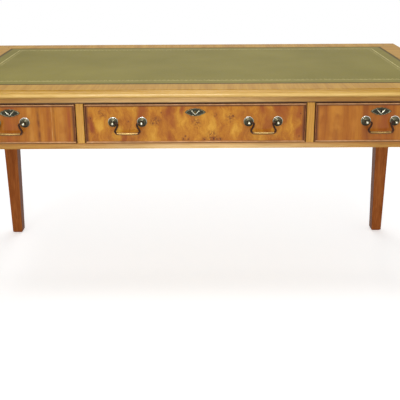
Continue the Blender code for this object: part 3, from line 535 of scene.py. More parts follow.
def upright_veneer(name, seed, drawer, streaks):
    """Yew veneer with its figure upright, scraped and polished: soft red and golden streaks."""
    made, tree = start_material(name)
    mm = place_in_mm(tree)
    centre, width = DRAWERS[drawer]
    shares = grain(tree, mm, "Z", seed, band=34.0, streak=8.0, fibre=1.6, wander=10.0)
    colour = add(tree, "ValToRGB", (weighted(tree, shares, (0.60, 0.28, 0.12)),), UPRIGHT)
    sway = add(tree, "VectorMath", {0: shares[0], "Scale": SWAY}, operation="SCALE")
    swayed = add(tree, "VectorMath", (mm, sway), operation="ADD")
    across = add(tree, "SeparateXYZ", (swayed,)).outputs["X"]
    broken = add(tree, "TexNoise", {"Vector": mm, "Scale": 1 / 34, "Detail": 2.0})
    broken = add(tree, "MapRange", {"Value": broken, "From Min": 0.36, "From Max": 0.60, "To Min": 0.35,
                                    "To Max": 1.25})
    for x, half_width, most, tone in streaks:
        share = stripe(tree, across, x + SWAY / 2, 0.0, half_width, most)
        share = add(tree, "Math", (share, broken), operation="MULTIPLY")
        colour = add(tree, "Mix", {"Factor": share, "A": colour, "B": linear(tone)}, data_type="RGBA")
    colour = painted_shade_by_bead(tree, mm, colour, centre, width)
    colour = behind_veneer(tree, mm, colour, shares[2], centre)
    polished(tree, colour, shares[2], (0.24, 0.36), 0.05, 0.0001)
    return made


# Each streak: place across and half width in mm, strength, tone
LEFT_STREAKS = ((-454, 15, 0.55, "#c98a36"), (-432, 7, 0.65, "#6a3210"), (-421, 6, 0.35, "#c98a36"),
                (-405, 9, 0.50, "#8c4214"), (-395, 2, 0.45, "#d8a868"), (-388, 4, 0.40, "#6a3210"),
                (-371, 15, 0.50, "#c88834"), (-349, 9, 0.45, "#98401a"), (-513, 22, 0.42, "#a04a1c"),
                (-560, 20, 0.40, "#c88834"), (-590, 6, 0.50, "#7a3c14"), (-640, 16, 0.45, "#8c4416"),
                (-665, 9, 0.40, "#c98a36"))
RIGHT_STREAKS = ((342, 22, 0.45, "#c47e2c"), (386, 34, 0.60, "#cc8830"), (440, 26, 0.45, "#c47e2c"),
                 (470, 12, 0.20, "#8a4418"), (520, 34, 0.50, "#96461a"), (566, 20, 0.30, "#bc7a2e"),
                 (600, 10, 0.30, "#80401a"), (640, 22, 0.30, "#b8722c"), (668, 12, 0.30, "#8c4214"))
left_veneer = upright_veneer("upright_yew_veneer_left", 11, "left", LEFT_STREAKS)
right_veneer = upright_veneer("upright_yew_veneer_right", 14, "right", RIGHT_STREAKS)
print("streaks:", len(LEFT_STREAKS), len(RIGHT_STREAKS))

# %% Burr veneer with its knots
# Each spot: place across, height, radius, all in mm
KNOTS = ((-291, 683, 2.6), (-186, 672, 2.2), (-109, 679, 2.6), (-117, 666, 2.0), (-94, 697, 1.8),
         (-28, 629, 2.0), (104, 687, 2.4), (290, 692, 2.4), (288, 627, 2.0), (-33, 620, 3.6),
         (-19, 620, 2.8), (24, 620, 3.6), (50, 620, 4.2), (60, 619, 3.0), (70, 620, 3.2))
HALOES = [(x, z, radius * 2.6) for x, z, radius in KNOTS]
FLECKS = ((-112, 673, 18), (5, 668, 20), (100, 680, 20), (48, 627, 26), (-255, 692, 12), (53, 690, 9))
RED_PATCHES = ((-290, 660, 16), (-148, 702, 26), (-62, 672, 15), (198, 665, 24), (286, 690, 24),
               (288, 640, 26), (186, 708, 20), (228, 708, 24), (-36, 706, 14), (-70, 622, 18),
               (-200, 622, 14), (-72, 700, 20), (244, 690, 22))
GOLD_PATCHES = ((-262, 654, 18), (-120, 647, 30), (-42, 669, 20), (50, 660, 34), (-215, 640, 20),
                (78, 690, 26), (106, 640, 18))
BURR = ((0.30, "#7e3c0a"), (0.42, "#a05a10"), (0.50, "#b36d17"), (0.58, "#c28020"), (0.70, "#d69c34"))


def spots(tree, flat, places, softness, tall=1.0):
    """1 at each place and falling to 0 at its radius, times tall upwards; the largest of them wins."""
    flat = add(tree, "VectorMath", (flat, (1.0, 1.0, 1 / tall)), operation="MULTIPLY")
    most = 0.0
    for x, z, radius in places:
        away = add(tree, "VectorMath", (flat, (x, 0.0, z / tall)), operation="DISTANCE")
        near = add(tree, "MapRange", {"Value": away, "From Min": radius * softness, "From Max": radius,
                                      "To Min": 1.0, "To Max": 0.0}, interpolation_type="SMOOTHSTEP")
        most = add(tree, "Math", (most, near), operation="MAXIMUM")
    return most


def burr_yew_veneer():
    """Burr yew, cut through many small buds and polished: swirling patches with dark knots."""
    made, tree = start_material("burr_yew_veneer")
    mm = place_in_mm(tree)
    bent = pushed(tree, mm, 28, 3.0, (34.0, 0.0, 34.0))
    swirl = add(tree, "Mapping", {"Vector": bent, "Scale": (1.0, 1.0, 0.45)})
    drawn = add(tree, "Mapping", {"Vector": bent, "Scale": (1.0, 1.0, 0.12)})
    patch, line, curl, fibre = (
        add(tree, "TexNoise", {"Vector": place, "Scale": 1 / size, "Detail": detail})
        for place, size, detail in ((swirl, 42, 3.0), (drawn, 3.5, 3.0), (swirl, 12, 3.0), (swirl, 1.6, 2.0)))
    flat = add(tree, "VectorMath", (bent, IN_XZ), operation="MULTIPLY")
    nudged = pushed(tree, mm, 5, 2.0, (9.0, 0.0, 9.0))
    near_flat = add(tree, "VectorMath", (nudged, IN_XZ), operation="MULTIPLY")
    gold = spots(tree, flat, GOLD_PATCHES, 0.1, 1.8)
    red = spots(tree, flat, RED_PATCHES, 0.0, 2.2)
    speck = add(tree, "TexNoise", {"Vector": near_flat, "Scale": 1 / 5.5, "Detail": 3.0})
    speck = add(tree, "MapRange", {"Value": speck, "From Min": 0.46, "From Max": 0.56})
    speck = add(tree, "Math", (speck, spots(tree, flat, FLECKS, 0.2)), operation="MULTIPLY")
    figure = weighted(tree, (patch, curl, line, fibre, gold, red), (0.46, 0.28, 0.18, 0.12, 0.12, -0.07))
    colour = add(tree, "ValToRGB", (figure,), BURR)
    for share, most, tone in ((red, 0.60, "#8e3a12"), (speck, 0.75, "#642c0e"),
                              (spots(tree, near_flat, HALOES, 0.4), 0.45, "#8c4818"),
                              (spots(tree, near_flat, KNOTS, 0.3), 0.90, "#4c220c")):
        share = add(tree, "Math", (share, most), operation="MULTIPLY")
        colour = add(tree, "Mix", {"Factor": share, "A": colour, "B": linear(tone)}, data_type="RGBA")
    centre, width = DRAWERS["middle"]
    colour = painted_shade_by_bead(tree, mm, colour, centre, width)
    colour = behind_veneer(tree, mm, colour, fibre, centre)
    polished(tree, colour, fibre, (0.24, 0.36), 0.05, 0.0001)
    return made


burr_veneer = burr_yew_veneer()
print("knots in the middle front:", len(KNOTS))

# %% [markdown]
# ## Hidden timber, dark bead and brass
#
# Drawer linings are bare pale hardwood, planed but not polished, so they have no gloss at all.
# The bead round each front is stained dark, with a painted highlight along its crown. The
# handles are brass that has been darkened with a chemical and then polished by rubbing: the
# high places shine through and the hollows stay nearly black, and some high places carry a
# painted highlight. How far wear and painted highlight lighten each place is worked out with
# the shape and kept on the mesh as a number.


# %% Bare timber inside
def bare_timber(name, along, seed, tones):
    """Pale hardwood, planed and left bare: faint straight grain and a dry surface."""
    made, tree = start_material(name)
    shares = grain(tree, place_in_mm(tree), along, seed, band=22.0, streak=5.0, fibre=1.2, wander=4.0)
    colour = add(tree, "ValToRGB", (weighted(tree, shares, (0.4, 0.4, 0.2)),), tones)
    polished(tree, colour, shares[2], (0.60, 0.75), 0.0, 0.0003)
    return made


LINING = ((0.30, "#a98a5c"), (0.45, "#c2a473"), (0.55, "#cdb185"), (0.70, "#d8c097"))
TAN = ((0.30, "#8d6c42"), (0.45, "#a88454"), (0.55, "#b49263"), (0.70, "#c3a376"))

lining_long = bare_timber("bare_lining_long", "Y", 21, LINING)
lining_cross = bare_timber("bare_lining_cross", "X", 22, LINING)
bottom_ply = bare_timber("bare_bottom_board", "X", 23, LINING)
runner_timber = bare_timber("bare_runner_timber", "Y", 24, TAN)
print("bare timbers: 4")

# %% Stained bead
BEAD_SIDE = ((0.30, "#4a1f0a"), (0.50, "#602b0e"), (0.70, "#7a3c15"))
BEAD_CROWN_HIGHLIGHT = ((0.30, "#bd8a5a"), (0.50, "#cb9868"), (0.70, "#d8a87a"))


def stained_bead():
    """Yew bead, rounded with a scratch stock and stained: dark, with a painted highlight along its crown."""
    made, tree = start_material("stained_yew_bead")
    mm = place_in_mm(tree)
    mottle = add(tree, "TexNoise", {"Vector": mm, "Scale": 1 / 16, "Detail": 3.0})
    fibre = add(tree, "TexNoise", {"Vector": mm, "Scale": 1 / 1.2, "Detail": 2.0})
    wear_and_highlight = add(tree, "Attribute", attribute_name="wear_and_highlight").outputs["Fac"]
    side, crown = (add(tree, "ValToRGB", (mottle,), tones) for tones in (BEAD_SIDE, BEAD_CROWN_HIGHLIGHT))
    colour = add(tree, "Mix", {"Factor": wear_and_highlight, "A": side, "B": crown}, data_type="RGBA")
    polished(tree, colour, fibre, (0.26, 0.40), 0.0, 0.0001, gloss=0.08)
    return made


bead_yew = stained_bead()
print("bead tones:", len(BEAD_SIDE) + len(BEAD_CROWN_HIGHLIGHT))


# %% Darkened brass
def darkened_brass(name, *tones):
    """Cast brass, darkened, brightened by rubbing on its high places and by painted highlights, and waxed:
    hollow to bright.
    """
    made, tree = start_material(name)
    mm = place_in_mm(tree)
    cloud = add(tree, "TexNoise", {"Vector": mm, "Scale": 1 / 5, "Detail": 5.0})
    grit = add(tree, "TexNoise", {"Vector": mm, "Scale": 1 / 0.7, "Detail": 2.0})
    wear_and_highlight = add(tree, "Attribute", attribute_name="wear_and_highlight").outputs["Fac"]
    share = weighted(tree, (wear_and_highlight, cloud, grit), (0.80, 0.30, 0.10))
    colour = add(tree, "ValToRGB", (share,), tuple(zip((0.15, 0.35, 0.58, 0.78, 1.00), tones)))
    surface(tree, colour, share, (0.40, 0.20), grit, 0.3, 0.0001,
            {"Metallic": 1.0, "Coat Weight": 0.4, "Coat Roughness": 0.10})
    return made


def filed_brass():
    """Rolled brass sheet for the locks, filed along its length: bright, with fine parallel scratches."""
    made, tree = start_material("filed_lock_brass")
    mm = place_in_mm(tree)
    filed = add(tree, "Mapping", {"Vector": mm, "Scale": (0.05, 1.0, 1.0)})
    scratch = add(tree, "TexNoise", {"Vector": filed, "Scale": 1 / 0.6, "Detail": 2.0})
    cloud = add(tree, "TexNoise", {"Vector": mm, "Scale": 1 / 9, "Detail": 3.0})
    colour = add(tree, "ValToRGB", (weighted(tree, (scratch, cloud), (0.5, 0.5)),),
                 ((0.30, "#8f7238"), (0.55, "#b8974e"), (0.75, "#cdb06a")))
    surface(tree, colour, scratch, (0.25, 0.42), scratch, 0.25, 0.0001, {"Metallic": 1.0})
    return made


antique_brass = darkened_brass("darkened_brass", "#1b1b13", "#45422e", "#8f8a6c", "#d6d0b8", "#fcfbf6")
bail_brass = darkened_brass("darkened_bail_brass", "#2a1206", "#4d270d", "#94743c", "#e2c686", "#fff4d2")
lock_brass = filed_brass()
print("brasses: 3")

# %% [markdown]
# ## Tooled leather
#
# The writing surface is one hide, dyed olive, let into the board, waxed and tooled with a hot
# wheel: its edge is stained darker, a gilt line runs round it, and inside the line a narrow
# running ornament. All of that follows the edge of the hide, so one number drives it: how far
# a point is from the nearest edge. Hide grain is half a millimetre wide and would vanish, so it
# is drawn at 1.5 mm.

# %% Leather material
# All in mm, and the lozenge's three in shares of its own size
LEATHER_GAP = 0.3
LINE_IN = 42.0
LINE_HALF = 2.0
BAND_MIDDLE = 52.0
BAND_HALF = 6.5
DARK_EDGE = 9.0
MOTIF_LENGTH = 13.0
RING_MIDDLE, RING_HALF, HEART = 0.72, 0.13, 0.26
HIDE = ((0.30, "#756c2a"), (0.50, "#7f7533"), (0.70, "#8a803c"))


def running_motif(tree, run, from_edge):
    """A chain of lozenges inside the gilt line: a ring and a heart in each, and nothing past the band."""
    step = add(tree, "Math", (run, MOTIF_LENGTH), operation="DIVIDE")
    step = add(tree, "Math", (step, 0.5), operation="PINGPONG")
    across = add(tree, "Math", (distance(tree, from_edge, BAND_MIDDLE), BAND_HALF), operation="DIVIDE")
    lozenge = add(tree, "Math", (step, 2.0, across), operation="MULTIPLY_ADD")
    ring = add(tree, "Math", (distance(tree, lozenge, RING_MIDDLE), RING_HALF), operation="LESS_THAN")
    heart = add(tree, "Math", (lozenge, HEART), operation="LESS_THAN")
    in_band = add(tree, "Math", (across, 1.0), operation="LESS_THAN")
    motif = add(tree, "Math", (ring, heart), operation="MAXIMUM")
    return add(tree, "Math", (motif, in_band), operation="MULTIPLY")


def tooled_leather():
    """Dyed and waxed hide with gilt tooling: soft sheen, fine pebbled grain, worn gold lines."""
    made, tree = start_material("olive_tooled_leather")
    mm = place_in_mm(tree)
    x, y, _ = add(tree, "SeparateXYZ", (mm,)).outputs
    inside = []
    for place, half in ((x, LEATHER_HALF_X), (y, LEATHER_HALF_Y)):
        size = add(tree, "Math", (place,), operation="ABSOLUTE")
        inside.append(add(tree, "Math", (1000 * half - LEATHER_GAP, size), operation="SUBTRACT"))
    from_edge = add(tree, "Math", inside, operation="MINIMUM")
    at_end = add(tree, "Math", inside, operation="LESS_THAN")
    run = add(tree, "Mix", {"Factor": at_end, "A": x, "B": y})
    line = stripe(tree, from_edge, LINE_IN, LINE_HALF * 0.6, LINE_HALF, ease="LINEAR")
    wear = add(tree, "TexNoise", {"Vector": mm, "Scale": 1 / 14, "Detail": 4.0})
    worn = add(tree, "MapRange", {"Value": wear, "From Min": 0.40, "From Max": 0.60, "To Min": 0.45,
                                  "To Max": 1.0})
    gilt = weighted(tree, (line, running_motif(tree, run, from_edge)), (0.85, 0.40))
    gilt = add(tree, "Math", (gilt, worn), operation="MULTIPLY", use_clamp=True)
    dye = add(tree, "TexNoise", {"Vector": mm, "Scale": 1 / 260, "Detail": 3.0})
    pebble = add(tree, "TexVoronoi", {"Vector": mm, "Scale": 1 / 1.5})
    colour = add(tree, "ValToRGB", (weighted(tree, (dye, wear, pebble), (0.65, 0.27, 0.08)),), HIDE)
    edge = add(tree, "MapRange", {"Value": from_edge, "From Min": DARK_EDGE, "From Max": DARK_EDGE + 2.5,
                                  "To Min": 0.85, "To Max": 0.0})
    for share, tone in ((edge, "#50401a"), (gilt, "#d8cb8c")):
        colour = add(tree, "Mix", {"Factor": share, "A": colour, "B": linear(tone)}, data_type="RGBA")
    surface(tree, colour, wear, (0.42, 0.58), weighted(tree, (pebble, gilt), (0.5, -1.2)), 0.30, 0.0004,
            {"IOR": 1.45, "Specular IOR Level": 0.06})
    return made


olive_leather = tooled_leather()
print("gilt line from the edge, in mm:", LINE_IN)

# %% [markdown]
# ## How the new pieces are made
#
# Each new piece is a grid of points worked out at once as an array: one direction of the grid
# runs along the piece, the other round it. A grid can close on itself in one direction, as a
# tube does, or in both, as a ring does. Where a tube ends, one flat face closes it.


# %% Grid to piece
SMOOTH_BELOW = math.radians(38)


def grid_piece(name, grid, closed_along, material, wear_and_highlight=None):
    """A mesh from rows of points. Each row closes on itself; the rows close too, or end in a cap."""
    rows, count = grid.shape[:2]
    index = np.arange(rows * count).reshape(rows, count)
    index = np.hstack([index, index[:, :1]])
    if closed_along:
        index = np.vstack([index, index[:1]])
    quads = np.stack([index[:-1, :-1], index[:-1, 1:], index[1:, 1:], index[1:, :-1]], axis=-1)
    faces = quads.reshape(-1, 4).tolist()
    if not closed_along:
        faces += [index[0, :-1][::-1].tolist(), index[-1, :-1].tolist()]
    mesh = new_mesh(name, grid.reshape(-1, 3).tolist(), faces)
    if wear_and_highlight is not None:
        layer = mesh.attributes.new("wear_and_highlight", "FLOAT", "POINT")
        layer.data.foreach_set("value", np.ravel(wear_and_highlight).astype(np.float32))
    return finish_piece(name, mesh, material)


def finish_piece(name, mesh, material):
    """Puts a mesh in the scene, turns its faces outwards and shades its soft edges round."""
    shape = bmesh.new()
    shape.from_mesh(mesh)
    bmesh.ops.remove_doubles(shape, verts=shape.verts, dist=1e-7)
    bmesh.ops.recalc_face_normals(shape, faces=shape.faces)
    for edge in shape.edges:
        edge.smooth = edge.is_manifold and edge.calc_face_angle() < SMOOTH_BELOW
    for face in shape.faces:
        face.smooth = True
    shape.to_mesh(mesh)
    shape.free()
    mesh.materials.clear()
    mesh.materials.append(material)
    return placed(name, mesh)


def all_round(count):
    """Angles of a full turn, its start not repeated."""
    return np.linspace(0.0, 2 * math.pi, count, endpoint=False)


def stand_in(piece, node):
    """The piece moves with the node's body and hides the node."""
    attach(piece, frame["nodes"][node]["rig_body"])
    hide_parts(node)
    return piece


# %% [markdown]
# ## Joinery with eased edges
#
# The solids have perfectly sharp edges, which no plane or sandpaper leaves. A real edge is
# eased by half a millimetre, and that is what catches a thread of light. A bevel needs joined
# faces, and a solid's mesh comes as loose triangles, so a copy is merged, its flat triangles
# are dissolved into whole faces, and the bevel goes on the copy.

# %% Eased copies
EASE = 0.0006
FLAT_WITHIN = math.radians(0.2)
BEVEL_ABOVE = math.radians(30)


def eased(node, material):
    """A copy of a node with its flat faces made whole and its edges rounded by a small bevel."""
    source = frame["nodes"][node].data
    points = np.empty(len(source.vertices) * 3, np.float32)
    source.vertices.foreach_get("co", points)
    corners = np.empty(len(source.polygons) * 3, np.int32)
    source.polygons.foreach_get("vertices", corners)
    places, same = np.unique(np.round(points.reshape(-1, 3), 6), axis=0, return_inverse=True)
    triangles = same.reshape(-1)[corners].reshape(-1, 3)
    mesh = new_mesh(node + "_eased", places.tolist(), triangles.tolist())
    shape = bmesh.new()
    shape.from_mesh(mesh)
    bmesh.ops.dissolve_limit(shape, angle_limit=FLAT_WITHIN, verts=shape.verts, edges=shape.edges)
    for face in shape.faces:
        face.smooth = True
    shape.to_mesh(mesh)
    shape.free()
    mesh.materials.append(material)
    piece = placed(node + "_eased", mesh)
    bevel = piece.modifiers.new("ease", "BEVEL")
    bevel.width = EASE
    bevel.segments = 2
    bevel.limit_method = "ANGLE"
    bevel.angle_limit = BEVEL_ABOVE
    bevel.harden_normals = True
    return stand_in(piece, node)


JOINERY = {
    "top_board": border_yew,
    "front_rail_top": yew_rail,
    "front_rail_bottom": yew_rail,
    "front_divider_left": yew_upright,
    "front_divider_right": yew_upright,
    "leg_front_left": brown_leg,
    "leg_front_right": brown_leg,
    "leg_back_left": brown_leg,
    "leg_back_right": brown_leg,
    "apron_back": brown_long,
    "apron_left": brown_short,
    "apron_right": brown_short,
}
for node, material in JOINERY.items():
    eased(node, material)
print("eased pieces:", len(JOINERY))

# %% [markdown]
# ## Moulded edge
#
# A thumb moulding runs round the top: a quarter of an ellipse above, a small rounded lip below.
# On a real table it is planed in four lengths and mitred at the corners. Here the profile is
# an array of points, and each length is that profile at two ends, where the end of a point
# lies further out by as much as the point stands out: that makes the mitre.

# %% Moulding lengths
TOP = 0.762
BOARD_HALF_X = 0.750
BOARD_HALF_Y = 0.369
SEAT = 0.0003
MOULDING_WIDTH = 0.012
MOULDING_DROP = 0.021
NOSE_DROP = 0.0162
TOP_STEP = 0.0015
FOOT_WIDTH = 0.008
FOOT_STEP = 0.0012
LIP_START = 0.0082
LIP_STEP = 0.0014


def moulding_profile():
    """(out, drop): a quarter ellipse from the top step to the nose, then a quarter ellipse under it."""
    under = np.linspace(0.0, math.pi / 2, 9)
    over = np.linspace(0.0, math.pi / 2, 25)[1:]
    flat = [(SEAT, MOULDING_DROP), (FOOT_WIDTH, MOULDING_DROP), (FOOT_WIDTH, MOULDING_DROP - FOOT_STEP)]
    lip_width, lip_height = MOULDING_WIDTH - LIP_START, MOULDING_DROP - LIP_STEP - NOSE_DROP
    lip = np.column_stack([LIP_START + lip_width * np.sin(under), NOSE_DROP + lip_height * np.cos(under)])
    thumb = np.column_stack([SEAT + (MOULDING_WIDTH - SEAT) * np.cos(over),
                             NOSE_DROP - (NOSE_DROP - TOP_STEP) * np.sin(over)])
    return np.vstack([flat, lip, thumb])


def moulding(node, half_run, start, side, runs_along_x, material):
    """The profile at both ends, each point moved along by as much as it stands out."""
    out, drop = moulding_profile().T
    rows = []
    for end in (-1, 1):
        along = end * (half_run + out - SEAT)
        across = side * (start + out)
        place = (along, across) if runs_along_x else (across, along)
        rows.append(np.column_stack([*place, TOP - drop]))
    return stand_in(grid_piece(node + "_run", np.array(rows), False, material), node)


for node, side in (("edge_front", -1), ("edge_back", 1)):
    moulding(node, BOARD_HALF_X, BOARD_HALF_Y, side, True, yew_edge_long)
for node, side in (("edge_left", -1), ("edge_right", 1)):
    moulding(node, BOARD_HALF_Y, BOARD_HALF_X, side, False, yew_edge_short)
print("profile points:", len(moulding_profile()))

# %% [markdown]
# ## Leather
#
# The hide lies flat in its recess, a thin sheet with edges that roll over slightly, and the
# hot wheel has pressed the gilt line into it. A grid that is close where something happens
# and wide elsewhere carries both without many faces.

# %% Hide with a pressed line
HIDE_HALF_X = 0.6817
HIDE_HALF_Y = 0.3007
HIDE_THICKNESS = 0.0016
HIDE_DOWN = 0.0001
GROOVE_DEPTH, GROOVE_WIDTH = 0.00015, 0.0007
ROLL_DEPTH, ROLL_WIDTH = 0.0006, 0.0009
EDGE_STATIONS = (0.0, 0.0003, 0.0008, 0.0015, 0.003, 0.012, 0.026)
LAST_STATION = 0.054
MIDDLE_FROM = 0.07


def hide_stations(half):
    """Places from edge to edge: close at the edge and at the pressed line, wide in between."""
    line = (LINE_IN + np.linspace(-LINE_HALF, LINE_HALF, 9)) / 1000
    near = np.concatenate([EDGE_STATIONS, line, [LAST_STATION]])
    middle = np.linspace(-half + MIDDLE_FROM, half - MIDDLE_FROM, 40)
    return np.concatenate([-half + near, middle, half - near[::-1]])


def hide_surface():
    """Top = level, less a roll-over near the edge and a groove at the line; the underside is flat."""
    x, y = np.meshgrid(hide_stations(HIDE_HALF_X), hide_stations(HIDE_HALF_Y), indexing="ij")
    from_edge = np.minimum(HIDE_HALF_X - abs(x), HIDE_HALF_Y - abs(y))
    roll = ROLL_DEPTH * np.exp(-from_edge / ROLL_WIDTH)
    groove = GROOVE_DEPTH * np.exp(-(((from_edge - LINE_IN / 1000) / GROOVE_WIDTH) ** 2))
    top = np.dstack([x, y, TOP - HIDE_DOWN - roll - groove])
    under = np.dstack([x, y, np.full_like(x, TOP - HIDE_THICKNESS - SEAT)])
    return top, under


def hide_piece():
    """Joins the top and the underside along their borders into one closed sheet."""
    top, under = hide_surface()
    rows, count = top.shape[:2]
    index = np.arange(rows * count).reshape(rows, count)
    quads = np.stack([index[:-1, :-1], index[1:, :-1], index[1:, 1:], index[:-1, 1:]], axis=-1).reshape(-1, 4)
    rim = np.concatenate([index[:-1, 0], index[-1, :-1], index[:0:-1, -1], index[0, :0:-1]])
    after = np.roll(rim, -1)
    below = rows * count
    walls = np.stack([rim, rim + below, after + below, after], axis=-1)
    faces = quads.tolist() + (quads[:, ::-1] + below).tolist() + walls.tolist()
    mesh = new_mesh("leather_hide", np.vstack([top.reshape(-1, 3), under.reshape(-1, 3)]).tolist(), faces)
    return stand_in(finish_piece("leather_hide", mesh, olive_leather), "leather_inset")


hide = hide_piece()
print("hide faces:", len(hide.data.polygons))

# %% [markdown]
# ## Cock beads
#
# Round each drawer front runs a thin strip that stands 2.5 mm proud with a half-round nose. It
# protects the veneer's edge and draws the dark outline that the eye reads first. The profile
# is carried round the four corners of the front, which is a grid closed in both directions.

# %% Beads round the fronts
BEAD_WIDTH = 0.004
BEAD_PROUD = 0.0025
BEAD_DEPTH = 0.007
GAP_SIDE, GAP_FOOT, GAP_HEAD = 0.002, 0.0015, 0.0025
BESIDE_MITRE = 0.0004


def bead_surface(centre, width):
    """Half circle in front and a flat back, (inward, back) from the front's outer corners.

    Each corner is three rows, at the mitre and just beside it, so that the level beads can carry a
    painted highlight on their crown and the upright ones stay dark. The lower bead carries the
    painted highlight on its upper side too. The highlight share is a power of the sine of the turn
    round the half circle.
    """
    turn = np.linspace(0.0, math.pi, 13)
    radius = BEAD_WIDTH / 2
    nose = np.column_stack([radius + radius * np.cos(turn), radius - BEAD_PROUD - radius * np.sin(turn)])
    inward, back = np.vstack([[(0.0, BEAD_DEPTH), (BEAD_WIDTH, BEAD_DEPTH)], nose]).T
    half = width / 2 - GAP_SIDE
    at_back = [0.0, 0.0]
    # Painted highlight shares: full on the level beads' crown, on the lower bead's upper side too, and faint
    # on the upright beads.
    level = np.concatenate([at_back, np.sin(turn) ** 0.8])
    foot = np.maximum(level, np.concatenate([at_back, 0.95 * np.cos(turn)]))
    upright = np.concatenate([at_back, 0.30 * np.sin(turn) ** 3])
    y = DRAWER_FACE_Y + back
    rows, crowns = [], []
    for side_x, side_z in ((-1, -1), (1, -1), (1, 1), (-1, 1)):
        x = centre + side_x * (half - inward)
        outer, lying = (OPENING_BOTTOM + GAP_FOOT, foot) if side_z < 0 else (OPENING_TOP - GAP_HEAD, level)
        z = outer - side_z * inward
        corner = [(np.column_stack([x, y, z - side_z * BESIDE_MITRE]), upright),
                  (np.column_stack([x, y, z]), (upright + lying) / 2),
                  (np.column_stack([x - side_x * BESIDE_MITRE, y, z]), lying)]
        for row, crown in corner if side_x == side_z else corner[::-1]:
            rows.append(row)
            crowns.append(crown)
    return np.array(rows), np.array(crowns)


for word, (centre, width) in DRAWERS.items():
    grid, crown = bead_surface(centre, width)
    bead = grid_piece(f"{word}_bead_ring", grid, True, bead_yew, crown)
    stand_in(bead, f"{word}_cock_bead")
print("beads:", len(DRAWERS))

# %% [markdown]
# ## Handle posts
#
# Each handle hangs from two posts. A post is turned brass: a rose with a raised rim lies on
# the drawer, a neck rises out of it, and a ball on the neck holds the end of the bail. A bolt
# runs back through the front to a six-sided nut. A profile turned round an axis is a grid, and
# the nut is the same grid with a radius that changes with the angle.

# %% Post surface
PIN_REACH = 0.0135
BALL_RADIUS = 0.0068
NECK_RADIUS = 0.0036
ROSE_RADIUS = 0.0142
PIN_Z = 0.6706
POST_HALF_SPACING = 0.040
BOLT_RADIUS = 0.0024
NUT_RADIUS, NUT_FACE, NUT_CHAMFER, NUT_HEIGHT = 0.0060, 0.0038, 0.0018, 0.0035
NUT_OUT = -0.0203
RIM_RADIUS, RIM_HALF, RIM_BASE, RIM_HEIGHT = 0.0132, 0.0010, 0.0008, 0.0009
DOME_RADIUS, DOME_BASE, DOME_HEIGHT, RING_HEIGHT = 0.0118, 0.0011, 0.0036, 0.00045
BORE_RADIUS = 0.0020
BORE_START, BORE_END = 0.0017, 0.013
AROUND = 48


def rose_profile():
    """(radius, out, wear and highlight share): half-round rim, hollow, then a dome with two rings up to the
    neck.
    """
    turn = np.linspace(0.0, math.pi, 9)
    # The rim's crest is lighter, from wear and a painted highlight.
    rim = np.column_stack([RIM_RADIUS + RIM_HALF * np.cos(turn), RIM_BASE + RIM_HEIGHT * np.sin(turn),
                           0.15 + 0.75 * np.sin(turn)])
    rise = np.linspace(0.0, 1.0, 17)
    radius = DOME_RADIUS + (NECK_RADIUS - DOME_RADIUS) * rise
    rings = RING_HEIGHT * abs(np.sin(2.5 * math.pi * rise))
    dome = np.column_stack([radius, DOME_BASE + DOME_HEIGHT * rise ** 1.4 + rings, 0.05 + 500 * rings])
    return np.vstack([[(ROSE_RADIUS, SEAT, 0.1)], rim, dome])


def post_profile():
    """(radius, out, wear and highlight share) from the nut behind the drawer front to the front of the ball.
    """
    end = NUT_OUT - NUT_HEIGHT
    bolt = np.array([(0.0, end, 0.3), (NUT_FACE, end, 0.3), (NUT_RADIUS, NUT_OUT - NUT_CHAMFER, 0.3),
                     (NUT_RADIUS, NUT_OUT, 0.2), (BOLT_RADIUS, NUT_OUT, 0.1), (BOLT_RADIUS, SEAT, 0.1)])
    joint = math.asin(NECK_RADIUS / BALL_RADIUS)
    turn = np.linspace(joint, math.pi, 20)
    # The ball's front is lighter, from wear and a painted highlight.
    ball = np.column_stack([BALL_RADIUS * np.sin(turn), PIN_REACH - BALL_RADIUS * np.cos(turn),
                            0.05 + 0.95 * np.exp(-(((math.pi - turn) / 0.45) ** 2))])
    return np.vstack([bolt, rose_profile(), ball])


def six_sided(angle):
    """How far a six-sided nut's side lies from its middle, against its corner, at each angle."""
    within = np.mod(angle, math.pi / 3) - math.pi / 6
    return math.cos(math.pi / 6) / np.cos(within)


def tube_between(name, low, high, radius):
    """A plain round rod along X, to cut with."""
    angle = all_round(24)
    y, z = low[1] + radius * np.cos(angle), low[2] + radius * np.sin(angle)
    rows = [np.column_stack([np.full_like(y, x), y, z]) for x in (low[0], high[0])]
    return grid_piece(name, np.array(rows), False, antique_brass)


def post_surface(centre_x):
    """The profile turned about a line out of the drawer front; painted light makes the rose lightest at its
    top.
    """
    radius, out, wear_and_highlight = post_profile().T
    angle = all_round(AROUND)
    reach = np.outer(radius, np.ones(AROUND))
    reach[1:4] = np.outer(radius[1:4], six_sided(angle))
    x = centre_x + reach * np.cos(angle)
    z = PIN_Z + reach * np.sin(angle)
    y = np.outer(DRAWER_FACE_Y - out, np.ones(AROUND))
    share = np.outer(wear_and_highlight, np.ones(AROUND))
    rose = slice(6, 6 + len(rose_profile()))
    # Painted light and shade: the rose lightens towards its top and darkens towards its foot.
    share[rose] *= 0.65 + 0.55 * np.sin(angle)
    return np.dstack([x, y, z]), share


def drill(piece, tool):
    """Takes the tool's shape out of the piece for good, and removes the tool."""
    cut = piece.modifiers.new("bore", "BOOLEAN")
    cut.object = tool
    cut.solver = "EXACT"
    graph = bpy.context.evaluated_depsgraph_get()
    mesh = bpy.data.meshes.new_from_object(piece.evaluated_get(graph))
    piece.modifiers.clear()
    piece.data = mesh
    bpy.data.objects.remove(tool)


